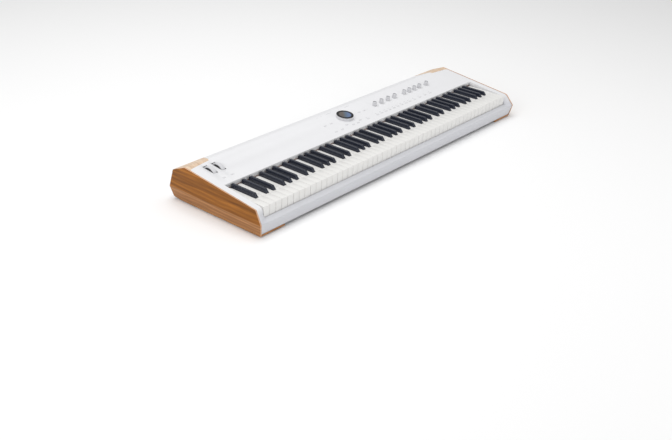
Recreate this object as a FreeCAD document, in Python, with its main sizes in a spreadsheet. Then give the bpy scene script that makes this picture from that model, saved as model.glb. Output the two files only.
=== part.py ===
import FreeCAD, Part

import math
import os

import Sketcher
from FreeCAD import Placement, Rotation, Vector

# An 88-key stage piano: weighted keys over a hammer action, a sloping deck with two performance
# wheels, a round display inside a turning dial, rotary controls and push buttons, white covers
# between solid wood sides, and a recessed connector bay at the back.
#
# Frame: millimetres, +X to the treble end, +Y to the back, +Z up. The origin is under the middle
# of the case, on the surface that the rubber feet stand on.

# ---------------------------------------------------------------------------------------------
# Driving sizes, in mm and degrees. Each goes to one cell of the sheet, under its own alias.
# "setback" is a distance behind the white keys' fronts; "depth below" is under their tops.
# ---------------------------------------------------------------------------------------------
SIZES = {
    # keyboard
    "white_keys": 52,
    "key_pitch": 23.5,
    "key_gap": 1.0,
    "key_length": 150.0,
    "head_length": 50.9,
    "black_setback": 51.9,
    "black_rear_gap": 1.5,
    "black_height": 12.0,
    "black_base_width": 11.3,
    "black_top_width": 8.6,
    "black_nose_run": 8.0,
    "black_gap": 1.0,
    "key_side_depth": 20.0,
    "key_skirt_depth": 36.0,
    "key_wall": 1.6,
    "key_top_wall": 3.0,
    "tail_width": 11.0,
    "tail_depth": 16.0,
    "tail_overhang": 8.0,
    "pivot_setback": 197.0,
    "pivot_depth": 8.0,
    "rod_radius": 2.0,
    "running_clearance": 0.05,
    "actuator_setback": 95.0,
    "actuator_size": 6.0,
    "actuator_clearance": 0.55,
    # hammers
    "hammer_setback": 120.0,
    "hammer_depth": 47.0,
    "hammer_width": 8.0,
    "hammer_nose": 28.0,
    "hammer_nose_rise": 9.1,
    "hammer_pad_length": 6.0,
    "hammer_hub": 6.0,
    "hammer_tail": 150.0,
    "hammer_tail_drop": 5.0,
    "hammer_tail_height": 10.0,
    # action frame and boards
    "frame_plate_lift": 0.5,
    "frame_plate_wall": 1.5,
    "frame_front_setback": 8.0,
    "frame_rear_setback": 275.0,
    "frame_end_gap": 3.0,
    "bracket_share": 0.5,
    "bracket_top_depth": 1.5,
    "bracket_low_depth": 40.0,
    "bracket_margin": 8.0,
    "contact_board_setback": 82.0,
    "contact_board_width": 26.0,
    "contact_board_depth": 57.0,
    "contact_board_wall": 1.6,
    "contact_strip_width": 8.0,
    "contact_strip_height": 3.0,
    "rib_wall": 2.0,
    "felt_width": 13.0,
    "felt_clearance": 0.4,
    "fallboard_felt_gap": 0.7,
    "fallboard_felt_inset": 0.3,
    # case profile
    "case_depth": 367.0,
    "key_top_height": 80.0,
    "ledge_depth": 21.0,
    "cheek_width": 23.0,
    "field_gap": 1.5,
    "cheek_setback": 5.0,
    "cheek_drop": 2.0,
    "deck_slope": 6.9,
    "chamfer_run": 60.0,
    "chamfer_inset": 10.0,
    "chamfer_height": 91.0,
    "front_ridge_height": 42.0,
    "rear_ridge_height": 39.0,
    "side_bottom_height": 3.0,
    "front_foot_inset": 8.0,
    "rear_foot_inset": 34.0,
    "rear_low_inset": 10.0,
    "rear_low_height": 7.0,
    "side_top_wall": 4.7,
    "side_ridge_wall": 11.0,
    "side_bottom_wall": 3.3,
    # covers
    "deck_wall": 2.2,
    "fallboard_wall": 2.0,
    "fallboard_gap": 2.8,
    "fallboard_round": 1.2,
    "nose_radius": 18.0,
    "nose_setback": 5.0,
    "arm_foot_setback": 18.5,
    "arm_nose_share": 0.53,
    "arm_foot_share": 1.2,
    "rail_lip_depth": 52.0,
    "rail_gap": 1.5,
    "rail_rear_depth": 31.0,
    "rail_wall": 2.6,
    "rail_ridge_inset": 0.5,
    "rail_ridge_round": 3.0,
    "rail_inner_share": 0.6,
    "rail_bottom_height": 8.5,
    "panel_wall": 2.5,
    "tray_height": 8.0,
    "tray_wall": 2.5,
    "tray_lip": 10.0,
    "tray_front_inset": 13.5,
    "tray_rear_inset": 15.5,
    "end_block_inset": 2.5,
    "end_block_gap": 0.1,
    "end_block_depth": 23.0,
    "cap_wall": 3.7,
    "cap_setback": 268.0,
    "cap_tip_setback": 277.0,
    "cap_tip_length": 80.0,
    "cap_rear_length": 113.0,
    "cap_round": 8.0,
    "board_length": 92.0,
    "board_depth": 55.0,
    "board_taper": 22.0,
    # feet and screws
    "foot_radius": 9.0,
    "foot_top_radius": 11.0,
    "foot_side_offset": 520.0,
    "foot_front_setback": 30.0,
    "foot_rear_setback": 290.0,
    "screw_radius": 1.9,
    "screw_head_radius": 3.6,
    "screw_head_height": 2.0,
    "frame_screw_inner": 0.301,
    "frame_screw_outer": 0.836,
    "frame_screw_front": 58.0,
    "frame_screw_rear": 225.0,
    "block_screw_front": 75.0,
    "block_screw_rear": 125.0,
    "screw_grip": 6.0,
    "block_screw_grip": 14.0,
    # wheels
    "wheel_offset": 25.5,
    "wheel_pitch": 32.0,
    "wheel_setback": 236.0,
    "wheel_radius": 27.0,
    "wheel_width": 12.0,
    "wheel_edge": 1.2,
    "wheel_axle_depth": 18.0,
    "wheel_side_gap": 2.5,
    "wheel_end_gap": 3.0,
    "axle_radius": 3.0,
    "wheel_cheek_wall": 2.0,
    "wheel_cheek_gap": 1.0,
    "wheel_cheek_length": 24.0,
    "wheel_cheek_depth": 24.0,
    # dial and display
    "dial_offset": -7.0,
    "dial_setback": 227.0,
    "dial_radius": 28.4,
    "dial_flare": 0.5,
    "dial_bore_radius": 25.3,
    "dial_flange_radius": 31.0,
    "dial_flange_height": 1.4,
    "dial_flange_sink": 0.5,
    "dial_lift": 0.4,
    "dial_height": 10.3,
    "bezel_height": 11.6,
    "bezel_rim": 1.0,
    "bezel_edge": 0.4,
    "bezel_ledge_wall": 1.0,
    "bezel_stem_radius": 24.9,
    "bezel_stem_wall": 2.0,
    "lens_radius": 20.5,
    "lens_gap": 0.1,
    "lens_wall": 1.4,
    "lens_ledge": 1.6,
    "screen_gap": 0.2,
    # rotary controls
    "knob_setback": 228.0,
    "knob_offset_one": 150.0,
    "knob_pitch_one": 36.3,
    "knob_offset_two": 314.0,
    "knob_pitch_two": 29.8,
    "knob_offset_three": 445.0,
    "knob_radius": 7.6,
    "knob_top_radius": 7.1,
    "knob_height": 13.0,
    "knob_lift": 0.8,
    "knob_groove_radius": 6.2,
    "knob_groove_width": 1.1,
    "knob_groove_depth": 1.6,
    "shaft_radius": 3.0,
    "shaft_hole_gap": 0.6,
    "shaft_end": 11.0,
    "pot_size": 11.0,
    "pot_gap": 1.4,
    # push buttons
    "button_length": 11.0,
    "button_width": 5.0,
    "button_round": 1.5,
    "button_height": 0.9,
    "button_stem": 4.0,
    "button_gap": 0.3,
    "switch_size": 4.6,
    "switch_gap": 1.2,
    "row_setback": 177.0,
    "row_lone_offset": 54.0,
    "row_offset_one": 104.5,
    "row_pitch_one": 22.2,
    "row_offset_two": 310.0,
    "row_pitch_two": 30.8,
    "arc_radius": 51.0,
    "arc_pitch": 26.3,
    "arc_tilt": 2.0,
    "upper_setback": 223.5,
    "left_pair_offset": -106.0,
    "left_pair_pitch": 29.0,
    "right_pair_offset": 63.0,
    "right_pair_pitch": 27.0,
    "wheel_button_setback": 180.0,
    # control board
    "board_drop": 12.4,
    "board_wall": 1.6,
    "control_board_left": -150.0,
    "control_board_right": 470.0,
    "control_board_front": 167.0,
    "control_board_rear": 262.0,
    # connector bay
    "bay_left": -150.0,
    "bay_right": 110.0,
    "bay_low_height": 46.0,
    "bay_top_height": 82.0,
    "bay_back_inset": 25.5,
    "bay_depth": 14.0,
    "bay_wall": 1.5,
    "bay_gap": 0.3,
    "jack_offset": -120.0,
    "jack_pitch": 34.0,
    "jack_radius": 3.25,
    "jack_nose_radius": 4.5,
    "jack_nose": 4.5,
    "jack_size": 15.0,
    "jack_body": 24.0,
    "jack_bore": 26.0,
    "power_offset": 40.0,
    "power_radius": 2.85,
    "power_bore": 11.0,
    "usb_offset": 80.0,
    "usb_width": 12.0,
    "usb_height": 10.8,
    "usb_bore": 11.0,
    "usb_wall": 1.2,
    "nose_gap": 0.1,
}

JACKS = 4
KNOBS_PER_BANK = 4
ROW_ONE_BUTTONS = 9
ROW_TWO_BUTTONS = 4
ARC_BUTTONS = 4
HALF_TURN = 180.0
FULL_TURN = 360.0

# The twelve notes of an octave that starts at C. The tails share the width of C to E in five
# equal parts and that of F to B in seven, which sets where each black key stands.
NOTES = ["c", "c_sharp", "d", "d_sharp", "e", "f", "f_sharp", "g", "g_sharp", "a", "a_sharp", "b"]
WHITE_STEPS = {"c": 0, "d": 1, "e": 2, "f": 3, "g": 4, "a": 5, "b": 6}
LOWER_NOTES = 5
LOWER_WHITES = 3
UPPER_NOTES = 7
UPPER_WHITES = 4
OCTAVE_WHITES = 7
WHITES_BEFORE_FIRST_C = 2
FULL_OCTAVES = 7

# A cutting tool runs this far past the face it cuts, and a hole's tool this many sheets each way.
OVERCUT = 1.0
SHEETS_DEEP = 2
# A plan prism stands this far past the pieces that it meets.
PLAN_MARGIN = 10.0
# The least cosine at which two directions count as one.
PARALLEL = 0.999
# The most that two places may differ and still count as one.
SAME_PLACE = 1e-4

DOC = FreeCAD.newDocument("StagePiano")
SHEET = DOC.addObject("Spreadsheet::Sheet", "sheet")
for row, (alias, number) in enumerate(SIZES.items(), start=1):
    SHEET.set(f"A{row}", alias)
    SHEET.set(f"B{row}", str(number))
    SHEET.setAlias(f"B{row}", alias)
DOC.recompute()

NODES = []


# ---------------------------------------------------------------------------------------------
# Expressions: places are strings over the sheet, so objects stay bound to it.
# ---------------------------------------------------------------------------------------------
def size(alias):
    """The expression of one cell."""
    return f"sheet.{alias}"


def value(expression):
    """The number that an expression gives now."""
    return float(SHEET.evalExpression(str(expression)))


KEYS_LEFT = f"(-{size('white_keys')} * {size('key_pitch')} / 2)"
FRONT_Y = f"(-{size('case_depth')} / 2)"
REAR_Y = f"({size('case_depth')} / 2)"
KEY_FRONT_Y = f"({FRONT_Y} + {size('ledge_depth')})"
SIDE_INNER_X = f"(-({KEYS_LEFT}) + {size('cheek_width')})"
CHEEK_INNER_X = f"(-({KEYS_LEFT}) + {size('field_gap')})"
TRAY_TOP_Z = f"({size('tray_height')} + {size('tray_wall')})"
PLATE_TOP_Z = f"({TRAY_TOP_Z} + {size('frame_plate_lift')} + {size('frame_plate_wall')})"
BAY_BACK_Y = f"({REAR_Y} - {size('bay_back_inset')})"


def back(distance):
    """Y of a place at a distance behind the white keys' fronts."""
    return f"({KEY_FRONT_Y} + ({distance}))"


def below(depth):
    """Z of a place at a depth below the white keys' tops."""
    return f"({size('key_top_height')} - ({depth}))"


def deck_z(y):
    """Z of the deck's top surface at y."""
    run = f"({y} - {back(size('cheek_setback'))})"
    return f"({below(size('cheek_drop'))} + {run} * tan({size('deck_slope')}))"


PEAK_Y = f"({REAR_Y} - {size('chamfer_run')})"
PEAK_Z = deck_z(PEAK_Y)
CHAMFER_Y = f"({REAR_Y} - {size('chamfer_inset')})"
CHAMFER_Z = size("chamfer_height")
COVER_EDGE_Z = f"({CHAMFER_Z} - {size('cap_wall')})"


def deck_point(x, y, along, normal):
    """A place given on the deck at x, y, then moved along its slope and along its normal."""
    slope = size("deck_slope")
    place_y = f"({y} + ({along}) * cos({slope}) - ({normal}) * sin({slope}))"
    place_z = f"({deck_z(y)} + ({along}) * sin({slope}) + ({normal}) * cos({slope}))"
    return x, place_y, place_z


# ---------------------------------------------------------------------------------------------
# Building helpers
# ---------------------------------------------------------------------------------------------
def place(item, base, axis=Vector(0, 0, 1), angle="0"):
    """Bind an object's Placement to expressions."""
    item.Placement = Placement(Vector(0, 0, 0), Rotation(axis, value(angle)))
    for letter, expression in zip("xyz", base):
        item.setExpression(f"Placement.Base.{letter}", str(expression))
    item.setExpression("Placement.Rotation.Angle", str(angle))


def node(item, label):
    """Mark an object as a sub-part, which is written to a file with its label as the name."""
    item.Label = label
    NODES.append(item)
    return item


def box(name, low, lengths):
    """A box with its low corner at an expression place."""
    item = DOC.addObject("Part::Box", name)
    for side, length in zip(("Length", "Width", "Height"), lengths):
        item.setExpression(side, str(length))
    place(item, low)
    return item


def cylinder(name, base, radius, height, axis=Vector(0, 0, 1), angle="0"):
    """A cylinder from base, along +Z turned by angle about axis."""
    item = DOC.addObject("Part::Cylinder", name)
    item.setExpression("Radius", str(radius))
    item.setExpression("Height", str(height))
    place(item, base, axis, angle)
    return item


def cylinder_x(name, base, radius, height):
    """A cylinder along +X."""
    return cylinder(name, base, radius, height, Vector(0, 1, 0), "90")


def cylinder_y(name, base, radius, height):
    """A cylinder along -Y."""
    return cylinder(name, base, radius, height, Vector(1, 0, 0), "90")


def deck_box(name, x, y, lengths, low):
    """A box centred on a deck place, standing along the deck's normal from low."""
    length, width, height = lengths
    item = DOC.addObject("Part::Box", name)
    for side, expression in zip(("Length", "Width", "Height"), lengths):
        item.setExpression(side, str(expression))
    corner = deck_point(f"({x} - ({length}) / 2)", y, f"-({width}) / 2", low)
    place(item, corner, Vector(1, 0, 0), size("deck_slope"))
    return item


def deck_cylinder(name, x, y, radius, low, height):
    """A cylinder on a deck place, along the deck's normal from low."""
    return cylinder(name, deck_point(x, y, "0", low), radius, height, Vector(1, 0, 0), size("deck_slope"))


def cut(name, base, tools):
    """Base less one tool or a group of tools."""
    item = DOC.addObject("Part::Cut", name)
    item.Base = base
    item.Tool = tools[0] if len(tools) == 1 else group(name + "_tools", tools)
    return item


def fuse(name, items):
    """Several overlapping objects as one solid."""
    item = DOC.addObject("Part::MultiFuse", name)
    item.Shapes = items
    item.Refine = True
    return item


def group(name, items):
    """Several separate solids as one object."""
    item = DOC.addObject("Part::Compound", name)
    item.Links = items
    return item


def mirrored(name, source):
    """The same object on the other side of the YZ plane."""
    item = DOC.addObject("Part::Mirroring", name)
    item.Source = source
    item.Normal = Vector(1, 0, 0)
    item.Base = Vector(0, 0, 0)
    return item


def outline_sketch(body, name, role, outline):
    """A closed polygon on one of the body's planes, each corner bound to two expressions."""
    sketch = body.newObject("Sketcher::SketchObject", name)
    plane = next(item for item in body.Origin.OriginFeatures if item.Role == role)
    sketch.AttachmentSupport = [(plane, "")]
    sketch.MapMode = "FlatFace"
    corners = [Vector(value(across), value(up), 0) for across, up in outline]
    following = corners[1:] + corners[:1]
    sketch.addGeometry([Part.LineSegment(start, end) for start, end in zip(corners, following)])
    for index in range(len(corners)):
        after = (index + 1) % len(corners)
        sketch.addConstraint(Sketcher.Constraint("Coincident", index, 2, after, 1))
    for index, (corner, (across, up)) in enumerate(zip(corners, outline)):
        for kind, number, expression in (("DistanceX", corner.x, across), ("DistanceY", corner.y, up)):
            held = sketch.addConstraint(Sketcher.Constraint(kind, -1, 1, index, 1, number))
            sketch.setExpression(f"Constraints[{held}]", str(expression))
    return sketch


def padded(name, role, outline, start, length, rounds=None):
    """An outline padded along its plane's normal; rounds gives a fillet radius per corner."""
    body = DOC.addObject("PartDesign::Body", name)
    sketch = outline_sketch(body, name + "_outline", role, outline)
    sketch.setExpression("AttachmentOffset.Base.z", str(start))
    pad = body.newObject("PartDesign::Pad", name + "_pad")
    pad.Profile = sketch
    pad.setExpression("Length", str(length))
    DOC.recompute()
    last = pad
    for corner, radius in (rounds or {}).items():
        fillet = body.newObject("PartDesign::Fillet", f"{name}_round_{corner}")
        fillet.Base = (last, edges_at(last.Shape, sketch.Placement, outline[corner]))
        fillet.setExpression("Radius", str(radius))
        DOC.recompute()
        last = fillet
    return body


def edges_at(shape, frame, corner):
    """The names of the straight edges that a padded outline's corner leaves."""
    spot = Vector(value(corner[0]), value(corner[1]), 0)
    normal = frame.Rotation.multVec(Vector(0, 0, 1))
    names = []
    for index, edge in enumerate(shape.Edges, start=1):
        ends = [frame.inverse().multVec(vertex.Point) for vertex in edge.Vertexes]
        if len(ends) == 2 and all(math.hypot(end.x - spot.x, end.y - spot.y) < SAME_PLACE for end in ends):
            if abs(edge.tangentAt(edge.FirstParameter).dot(normal)) > PARALLEL:
                names.append(f"Edge{index}")
    return names


def prism_x(name, outline, start, length, rounds=None):
    """An outline of (y, z) corners padded along +X."""
    return padded(name, "YZ_Plane", outline, start, length, rounds)


def prism_z(name, outline, start, length, rounds=None):
    """An outline of (x, y) corners padded along +Z."""
    return padded(name, "XY_Plane", outline, start, length, rounds)


def turned(name, outline):
    """An outline of (radius, height) corners turned about the body's own Z axis."""
    body = DOC.addObject("PartDesign::Body", name)
    sketch = outline_sketch(body, name + "_outline", "XZ_Plane", outline)
    turn = body.newObject("PartDesign::Revolution", name + "_turn")
    turn.Profile = sketch
    turn.ReferenceAxis = (sketch, ["V_Axis"])
    turn.Angle = FULL_TURN
    return body


def coded(name, shape):
    """A shape worked out in code, from sizes read from the sheet."""
    item = DOC.addObject("Part::Feature", name)
    item.Shape = shape
    item.Placement = Placement()
    return item


def face_of(points):
    """A flat face through points."""
    return Part.Face(Part.makePolygon(points + points[:1]))


# ---------------------------------------------------------------------------------------------
# Keys
# ---------------------------------------------------------------------------------------------
def tail_centre(step):
    """X of a note's tail from its octave's left edge, for the semitone step above C."""
    pitch = value(size("key_pitch"))
    lower = LOWER_WHITES * pitch / LOWER_NOTES
    upper = UPPER_WHITES * pitch / UPPER_NOTES
    if step < LOWER_NOTES:
        return lower * (step + 0.5)
    return LOWER_WHITES * pitch + upper * (step - LOWER_NOTES + 0.5)


def slab(low_x, high_x, near, far, top, bottom):
    """A box from setback near to far and from depth top to bottom, for left and right X."""
    corner = Vector(low_x, value(back(near)), value(below(bottom)))
    return Part.makeBox(high_x - low_x, far - near, bottom - top, corner)


def key_tail(centre, near):
    """The narrow rear of a key, with its running bore and the post that pushes the hammer."""
    half = value(size("tail_width")) / 2
    reach = value(size("pivot_setback"))
    end = reach + value(size("tail_overhang"))
    tail = slab(centre - half, centre + half, near, end, 0, value(size("tail_depth")))
    bore_radius = value(size("rod_radius")) + value(size("running_clearance"))
    bore_start = Vector(centre - half, value(back(reach)), value(below(size("pivot_depth"))))
    bore = Part.makeCylinder(bore_radius, 2 * half, bore_start, Vector(1, 0, 0))
    post_half = value(size("actuator_size")) / 2
    post_spot = value(size("actuator_setback"))
    post_end = value(size("hammer_depth")) - value(size("hammer_nose_rise"))
    post_end -= value(size("actuator_clearance"))
    post_top = value(size("key_top_wall")) / 2
    near_post = post_spot - post_half
    far_post = post_spot + post_half
    post = slab(centre - post_half, centre + post_half, near_post, far_post, post_top, post_end)
    return tail.cut(bore), post


def white_key(left, right, stem_left, stem_right, centre):
    """A white key: a wide head with a deep front, a stem between black keys and a tail."""
    wall = value(size("key_wall"))
    length = value(size("key_length"))
    head = value(size("head_length"))
    depth = value(size("key_side_depth"))
    roof = value(size("key_top_wall"))
    shell = slab(left, right, 0, head, 0, depth).fuse(slab(stem_left, stem_right, 0, length, 0, depth))
    hollow = slab(left + wall, right - wall, wall, head - wall, roof, depth)
    stem_end = length - wall
    hollow = hollow.fuse(slab(stem_left + wall, stem_right - wall, wall, stem_end, roof, depth))
    skirt = slab(left, right, 0, wall, roof, value(size("key_skirt_depth")))
    tail, post = key_tail(centre, stem_end)
    return shell.cut(hollow).fuse([skirt, post, tail]).removeSplitter()


def black_key(centre):
    """A black key: a tapered cap with a sloping nose on a hollow body, and a tail."""
    wall = value(size("key_wall"))
    near = value(size("black_setback"))
    far = value(size("key_length")) - value(size("black_rear_gap"))
    depth = value(size("key_side_depth"))
    base_half = value(size("black_base_width")) / 2
    top_half = value(size("black_top_width")) / 2
    rise = value(size("black_height"))
    nose = value(size("black_nose_run"))
    lean = base_half - top_half

    def ring(half, start, end, height):
        """The wire of the cap's plan at one height."""
        level = value(below(-height))
        front = value(back(start))
        rear = value(back(end))
        corners = [Vector(centre - half, front, level), Vector(centre + half, front, level)]
        corners += [Vector(centre + half, rear, level), Vector(centre - half, rear, level)]
        return Part.makePolygon(corners + corners[:1])

    low_ring = ring(base_half, near, far, 0)
    high_ring = ring(top_half, near + nose, far - lean, rise)
    cap = Part.makeLoft([low_ring, high_ring], True)
    body = slab(centre - base_half, centre + base_half, near, far, 0, depth)
    roof = value(size("key_top_wall"))
    inner_half = base_half - wall
    pocket = slab(centre - inner_half, centre + inner_half, near + wall, far - wall, roof, depth)
    tail, post = key_tail(centre, far - wall)
    return body.cut(pocket).fuse([cap, tail, post]).removeSplitter()


def octave_key(note, clear_left=False, clear_right=False):
    """One key of a note, placed in an octave whose left edge is at X = 0."""
    step = NOTES.index(note)
    centre = tail_centre(step)
    if note not in WHITE_STEPS:
        return black_key(centre)
    pitch = value(size("key_pitch"))
    half_gap = value(size("key_gap")) / 2
    reach = value(size("black_base_width")) / 2 + value(size("black_gap"))
    left = WHITE_STEPS[note] * pitch + half_gap
    right = left + pitch - 2 * half_gap
    stem_left = left
    stem_right = right
    if step > 0 and NOTES[step - 1] not in WHITE_STEPS and not clear_left:
        stem_left = tail_centre(step - 1) + reach
    if step + 1 < len(NOTES) and NOTES[step + 1] not in WHITE_STEPS and not clear_right:
        stem_right = tail_centre(step + 1) - reach
    return white_key(left, right, stem_left, stem_right, centre)


def octave_starts(note):
    """X of the left edge of every octave that holds the note, over the full keyboard."""
    pitch = value(size("key_pitch"))
    first = value(KEYS_LEFT) + WHITES_BEFORE_FIRST_C * pitch
    octaves = list(range(FULL_OCTAVES))
    if note in ("a", "a_sharp", "b"):
        octaves = [-1] + octaves
    if note == "c":
        octaves = octaves + [FULL_OCTAVES]
    return [first + octave * OCTAVE_WHITES * pitch for octave in octaves]


def key_group(note):
    """All the keys of one note. The lowest A and the highest C have a straight outer side."""
    usual = octave_key(note)
    keys = [usual.translated(Vector(start, 0, 0)) for start in octave_starts(note)]
    if note == "a":
        keys[0] = octave_key(note, clear_left=True).translated(Vector(octave_starts(note)[0], 0, 0))
    if note == "c":
        keys[-1] = octave_key(note, clear_right=True).translated(Vector(octave_starts(note)[-1], 0, 0))
    return Part.makeCompound(keys)


def hammer_group(note):
    """The weighted levers below the keys of one note, each on the hammer rod."""
    half = value(size("hammer_width")) / 2
    y = value(back(size("hammer_setback")))
    z = value(below(size("hammer_depth")))
    nose = value(size("hammer_nose"))
    rise = value(size("hammer_nose_rise"))
    pad = value(size("hammer_pad_length"))
    hub = value(size("hammer_hub"))
    tail = value(size("hammer_tail"))
    drop = value(size("hammer_tail_drop"))
    low = drop + value(size("hammer_tail_height"))
    corners = [(-nose, rise - hub - 2), (-nose, rise), (pad - nose, rise), (hub, hub - 1)]
    corners += [(tail, -drop), (tail, -low), (hub, -hub), (-hub, -hub)]
    bore_radius = value(size("rod_radius")) + value(size("running_clearance"))
    hammers = []
    for start in octave_starts(note):
        x = start + tail_centre(NOTES.index(note)) - half
        face = face_of([Vector(x, y + across, z + up) for across, up in corners])
        arm = face.extrude(Vector(2 * half, 0, 0))
        bore = Part.makeCylinder(bore_radius, 2 * half, Vector(x, y, z), Vector(1, 0, 0))
        hammers.append(arm.cut(bore))
    return Part.makeCompound(hammers)


# ---------------------------------------------------------------------------------------------
# Action frame, rods, boards and felts
# ---------------------------------------------------------------------------------------------
def bracket_places():
    """X of the middle of each upright: beside the outer keys, and between each B's tail and the C's."""
    inset = value(size("frame_end_gap"))
    left = value(KEYS_LEFT)
    octave = OCTAVE_WHITES * value(size("key_pitch"))
    middle = (tail_centre(NOTES.index("c")) + tail_centre(NOTES.index("b")) - octave) / 2
    return [left + inset] + [start + middle for start in octave_starts("c")] + [-left - inset]


def bracket_wall():
    """The uprights' thickness: a share of the room between the tails of a B and the C above it."""
    below_c = OCTAVE_WHITES * value(size("key_pitch")) - tail_centre(NOTES.index("b"))
    room = below_c + tail_centre(NOTES.index("c")) - value(size("tail_width"))
    return room * value(size("bracket_share"))


def key_frame():
    """A base plate with uprights that carry both rods, and two ribs under the contact board."""
    plate_top = value(PLATE_TOP_Z)
    plate_wall = value(size("frame_plate_wall"))
    wall = bracket_wall()
    rod = value(size("rod_radius"))
    key_y = value(back(size("pivot_setback")))
    key_z = value(below(size("pivot_depth")))
    hammer_y = value(back(size("hammer_setback")))
    hammer_z = value(below(size("hammer_depth")))
    margin = value(size("bracket_margin"))
    low_z = value(below(size("bracket_low_depth")))
    top_z = value(below(size("bracket_top_depth")))
    rear = key_y + margin
    half = -value(KEYS_LEFT)
    front = value(back(size("frame_front_setback")))
    depth = value(back(size("frame_rear_setback"))) - front
    frame = Part.makeBox(2 * half, depth, plate_wall, Vector(-half, front, plate_top - plate_wall))
    outline = [(hammer_y - margin, plate_top - plate_wall / 2), (hammer_y - margin, low_z)]
    outline += [(hammer_y + margin, low_z), (key_y - margin, key_z - 2 * margin)]
    outline += [(key_y - margin, top_z), (rear, top_z), (rear, plate_top - plate_wall / 2)]
    uprights = []
    for x in bracket_places():
        face = face_of([Vector(x - wall / 2, y, z) for y, z in outline])
        upright = face.extrude(Vector(wall, 0, 0))
        for y, z in ((key_y, key_z), (hammer_y, hammer_z)):
            upright = upright.cut(Part.makeCylinder(rod, wall, Vector(x - wall / 2, y, z), Vector(1, 0, 0)))
        uprights.append(upright)
    rib_wall = value(size("rib_wall"))
    rib_top = value(below(size("contact_board_depth"))) - value(size("contact_board_wall"))
    board_front = value(back(size("contact_board_setback")))
    board_rear = board_front + value(size("contact_board_width"))
    for y in (board_front, board_rear - rib_wall):
        corner = Vector(-half, y, plate_top - plate_wall / 2)
        uprights.append(Part.makeBox(2 * half, rib_wall, rib_top - corner.z, corner))
    frame = frame.fuse(uprights).removeSplitter()
    for x, y in frame_screw_places():
        low = Vector(x, y, plate_top - plate_wall - OVERCUT)
        depth = plate_wall + 2 * OVERCUT
        frame = frame.cut(Part.makeCylinder(value(size("screw_radius")), depth, low))
    return frame


def frame_screw_places():
    """The places of the screws that hold the action frame to the tray."""
    half = -value(KEYS_LEFT)
    shares = [value(size(f"frame_screw_{place}")) for place in ("inner", "outer")]
    columns = [side * share * half for side in (-1, 1) for share in shares]
    rows = [value(back(size(f"frame_screw_{place}"))) for place in ("front", "rear")]
    return [(x, y) for x in columns for y in rows]


def block_screw_places():
    """The places of the screws that hold the end blocks to the tray."""
    middle = (value(CHEEK_INNER_X) + value(SIDE_INNER_X)) / 2
    rows = [value(back(size(f"block_screw_{place}"))) for place in ("front", "rear")]
    return [(side * middle, y) for side in (-1, 1) for y in rows]


def screw(x, y, grip):
    """A pan-head screw that enters the tray from below."""
    height = value(size("tray_height"))
    head_height = value(size("screw_head_height"))
    head_low = Vector(x, y, height - head_height)
    head = Part.makeCylinder(value(size("screw_head_radius")), head_height, head_low)
    shank = Part.makeCylinder(value(size("screw_radius")), grip, Vector(x, y, height))
    return head.fuse(shank)


def case_screws():
    """Every screw seen from below."""
    frame_grip = value(size("screw_grip"))
    block_grip = value(size("block_screw_grip"))
    screws = [screw(x, y, frame_grip) for x, y in frame_screw_places()]
    screws += [screw(x, y, block_grip) for x, y in block_screw_places()]
    return Part.makeCompound(screws)


def screw_holes(places, low, high):
    """Round cutters for screws, from one height to another."""
    radius = value(size("screw_radius"))
    return Part.makeCompound([Part.makeCylinder(radius, high - low, Vector(x, y, low)) for x, y in places])


# ---------------------------------------------------------------------------------------------
# Wooden sides
# ---------------------------------------------------------------------------------------------
def side_panel():
    """The right side: a flat inner face, and an outer face that rises to a ridge along the case."""
    inner = value(SIDE_INNER_X)
    top_x = inner + value(size("side_top_wall"))
    ridge_x = inner + value(size("side_ridge_wall"))
    bottom_x = inner + value(size("side_bottom_wall"))
    rear = value(REAR_Y)
    low = value(size("side_bottom_height"))
    corners = [
        (value(back(size("cheek_setback"))), value(below(size("cheek_drop"))), top_x),
        (value(PEAK_Y), value(PEAK_Z), top_x),
        (value(CHAMFER_Y), value(CHAMFER_Z), top_x),
        (rear, value(size("rear_ridge_height")), ridge_x),
        (rear - value(size("rear_low_inset")), value(size("rear_low_height")), bottom_x),
        (rear - value(size("rear_foot_inset")), low, bottom_x),
        (value(FRONT_Y) + value(size("front_foot_inset")), low, bottom_x),
        (value(FRONT_Y), value(size("front_ridge_height")), ridge_x),
    ]
    flat = [Vector(inner, y, z) for y, z, x in corners]
    proud = [Vector(x, y, z) for y, z, x in corners]
    faces = [face_of(flat[::-1])]
    for index in range(len(corners)):
        after = (index + 1) % len(corners)
        faces.append(face_of([flat[index], flat[after], proud[after], proud[index]]))
    front_top, peak, chamfer, rear_ridge, rear_low, rear_foot, front_foot, front_ridge = proud
    upper = [(front_ridge, peak, front_top), (front_ridge, rear_ridge, peak), (rear_ridge, chamfer, peak)]
    lower = [(front_ridge, front_foot, rear_foot), (front_ridge, rear_foot, rear_low)]
    lower += [(front_ridge, rear_low, rear_ridge)]
    faces += [face_of(list(corner)) for corner in upper + lower]
    solid = Part.Solid(Part.Shell(faces))
    if solid.Volume < 0:
        solid.reverse()
    return solid


# ---------------------------------------------------------------------------------------------
# Covers
# ---------------------------------------------------------------------------------------------
def lowered(point, drop):
    """An outline corner moved straight down."""
    return point[0], f"({point[1]} - {drop})"


def deck_outline():
    """The bent sheet of the deck: the fallboard face, the slope, the rear chamfer and its lip."""
    wall = size("deck_wall")
    face_y = back(size("key_length"))
    inner_y = back(f"{size('key_length')} + {size('fallboard_wall')}")
    foot_z = below(f"-{size('fallboard_gap')}")
    outer = [(face_y, foot_z), (face_y, deck_z(face_y)), (PEAK_Y, PEAK_Z), (CHAMFER_Y, CHAMFER_Z)]
    lip_y = f"({CHAMFER_Y} - {wall})"
    lip = [(CHAMFER_Y, COVER_EDGE_Z), (lip_y, COVER_EDGE_Z), (lip_y, f"({CHAMFER_Z} - {wall} / 2)")]
    inner = [lowered((PEAK_Y, PEAK_Z), wall), lowered((inner_y, deck_z(inner_y)), wall)]
    return outer + lip + inner + [(inner_y, foot_z)]


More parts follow.
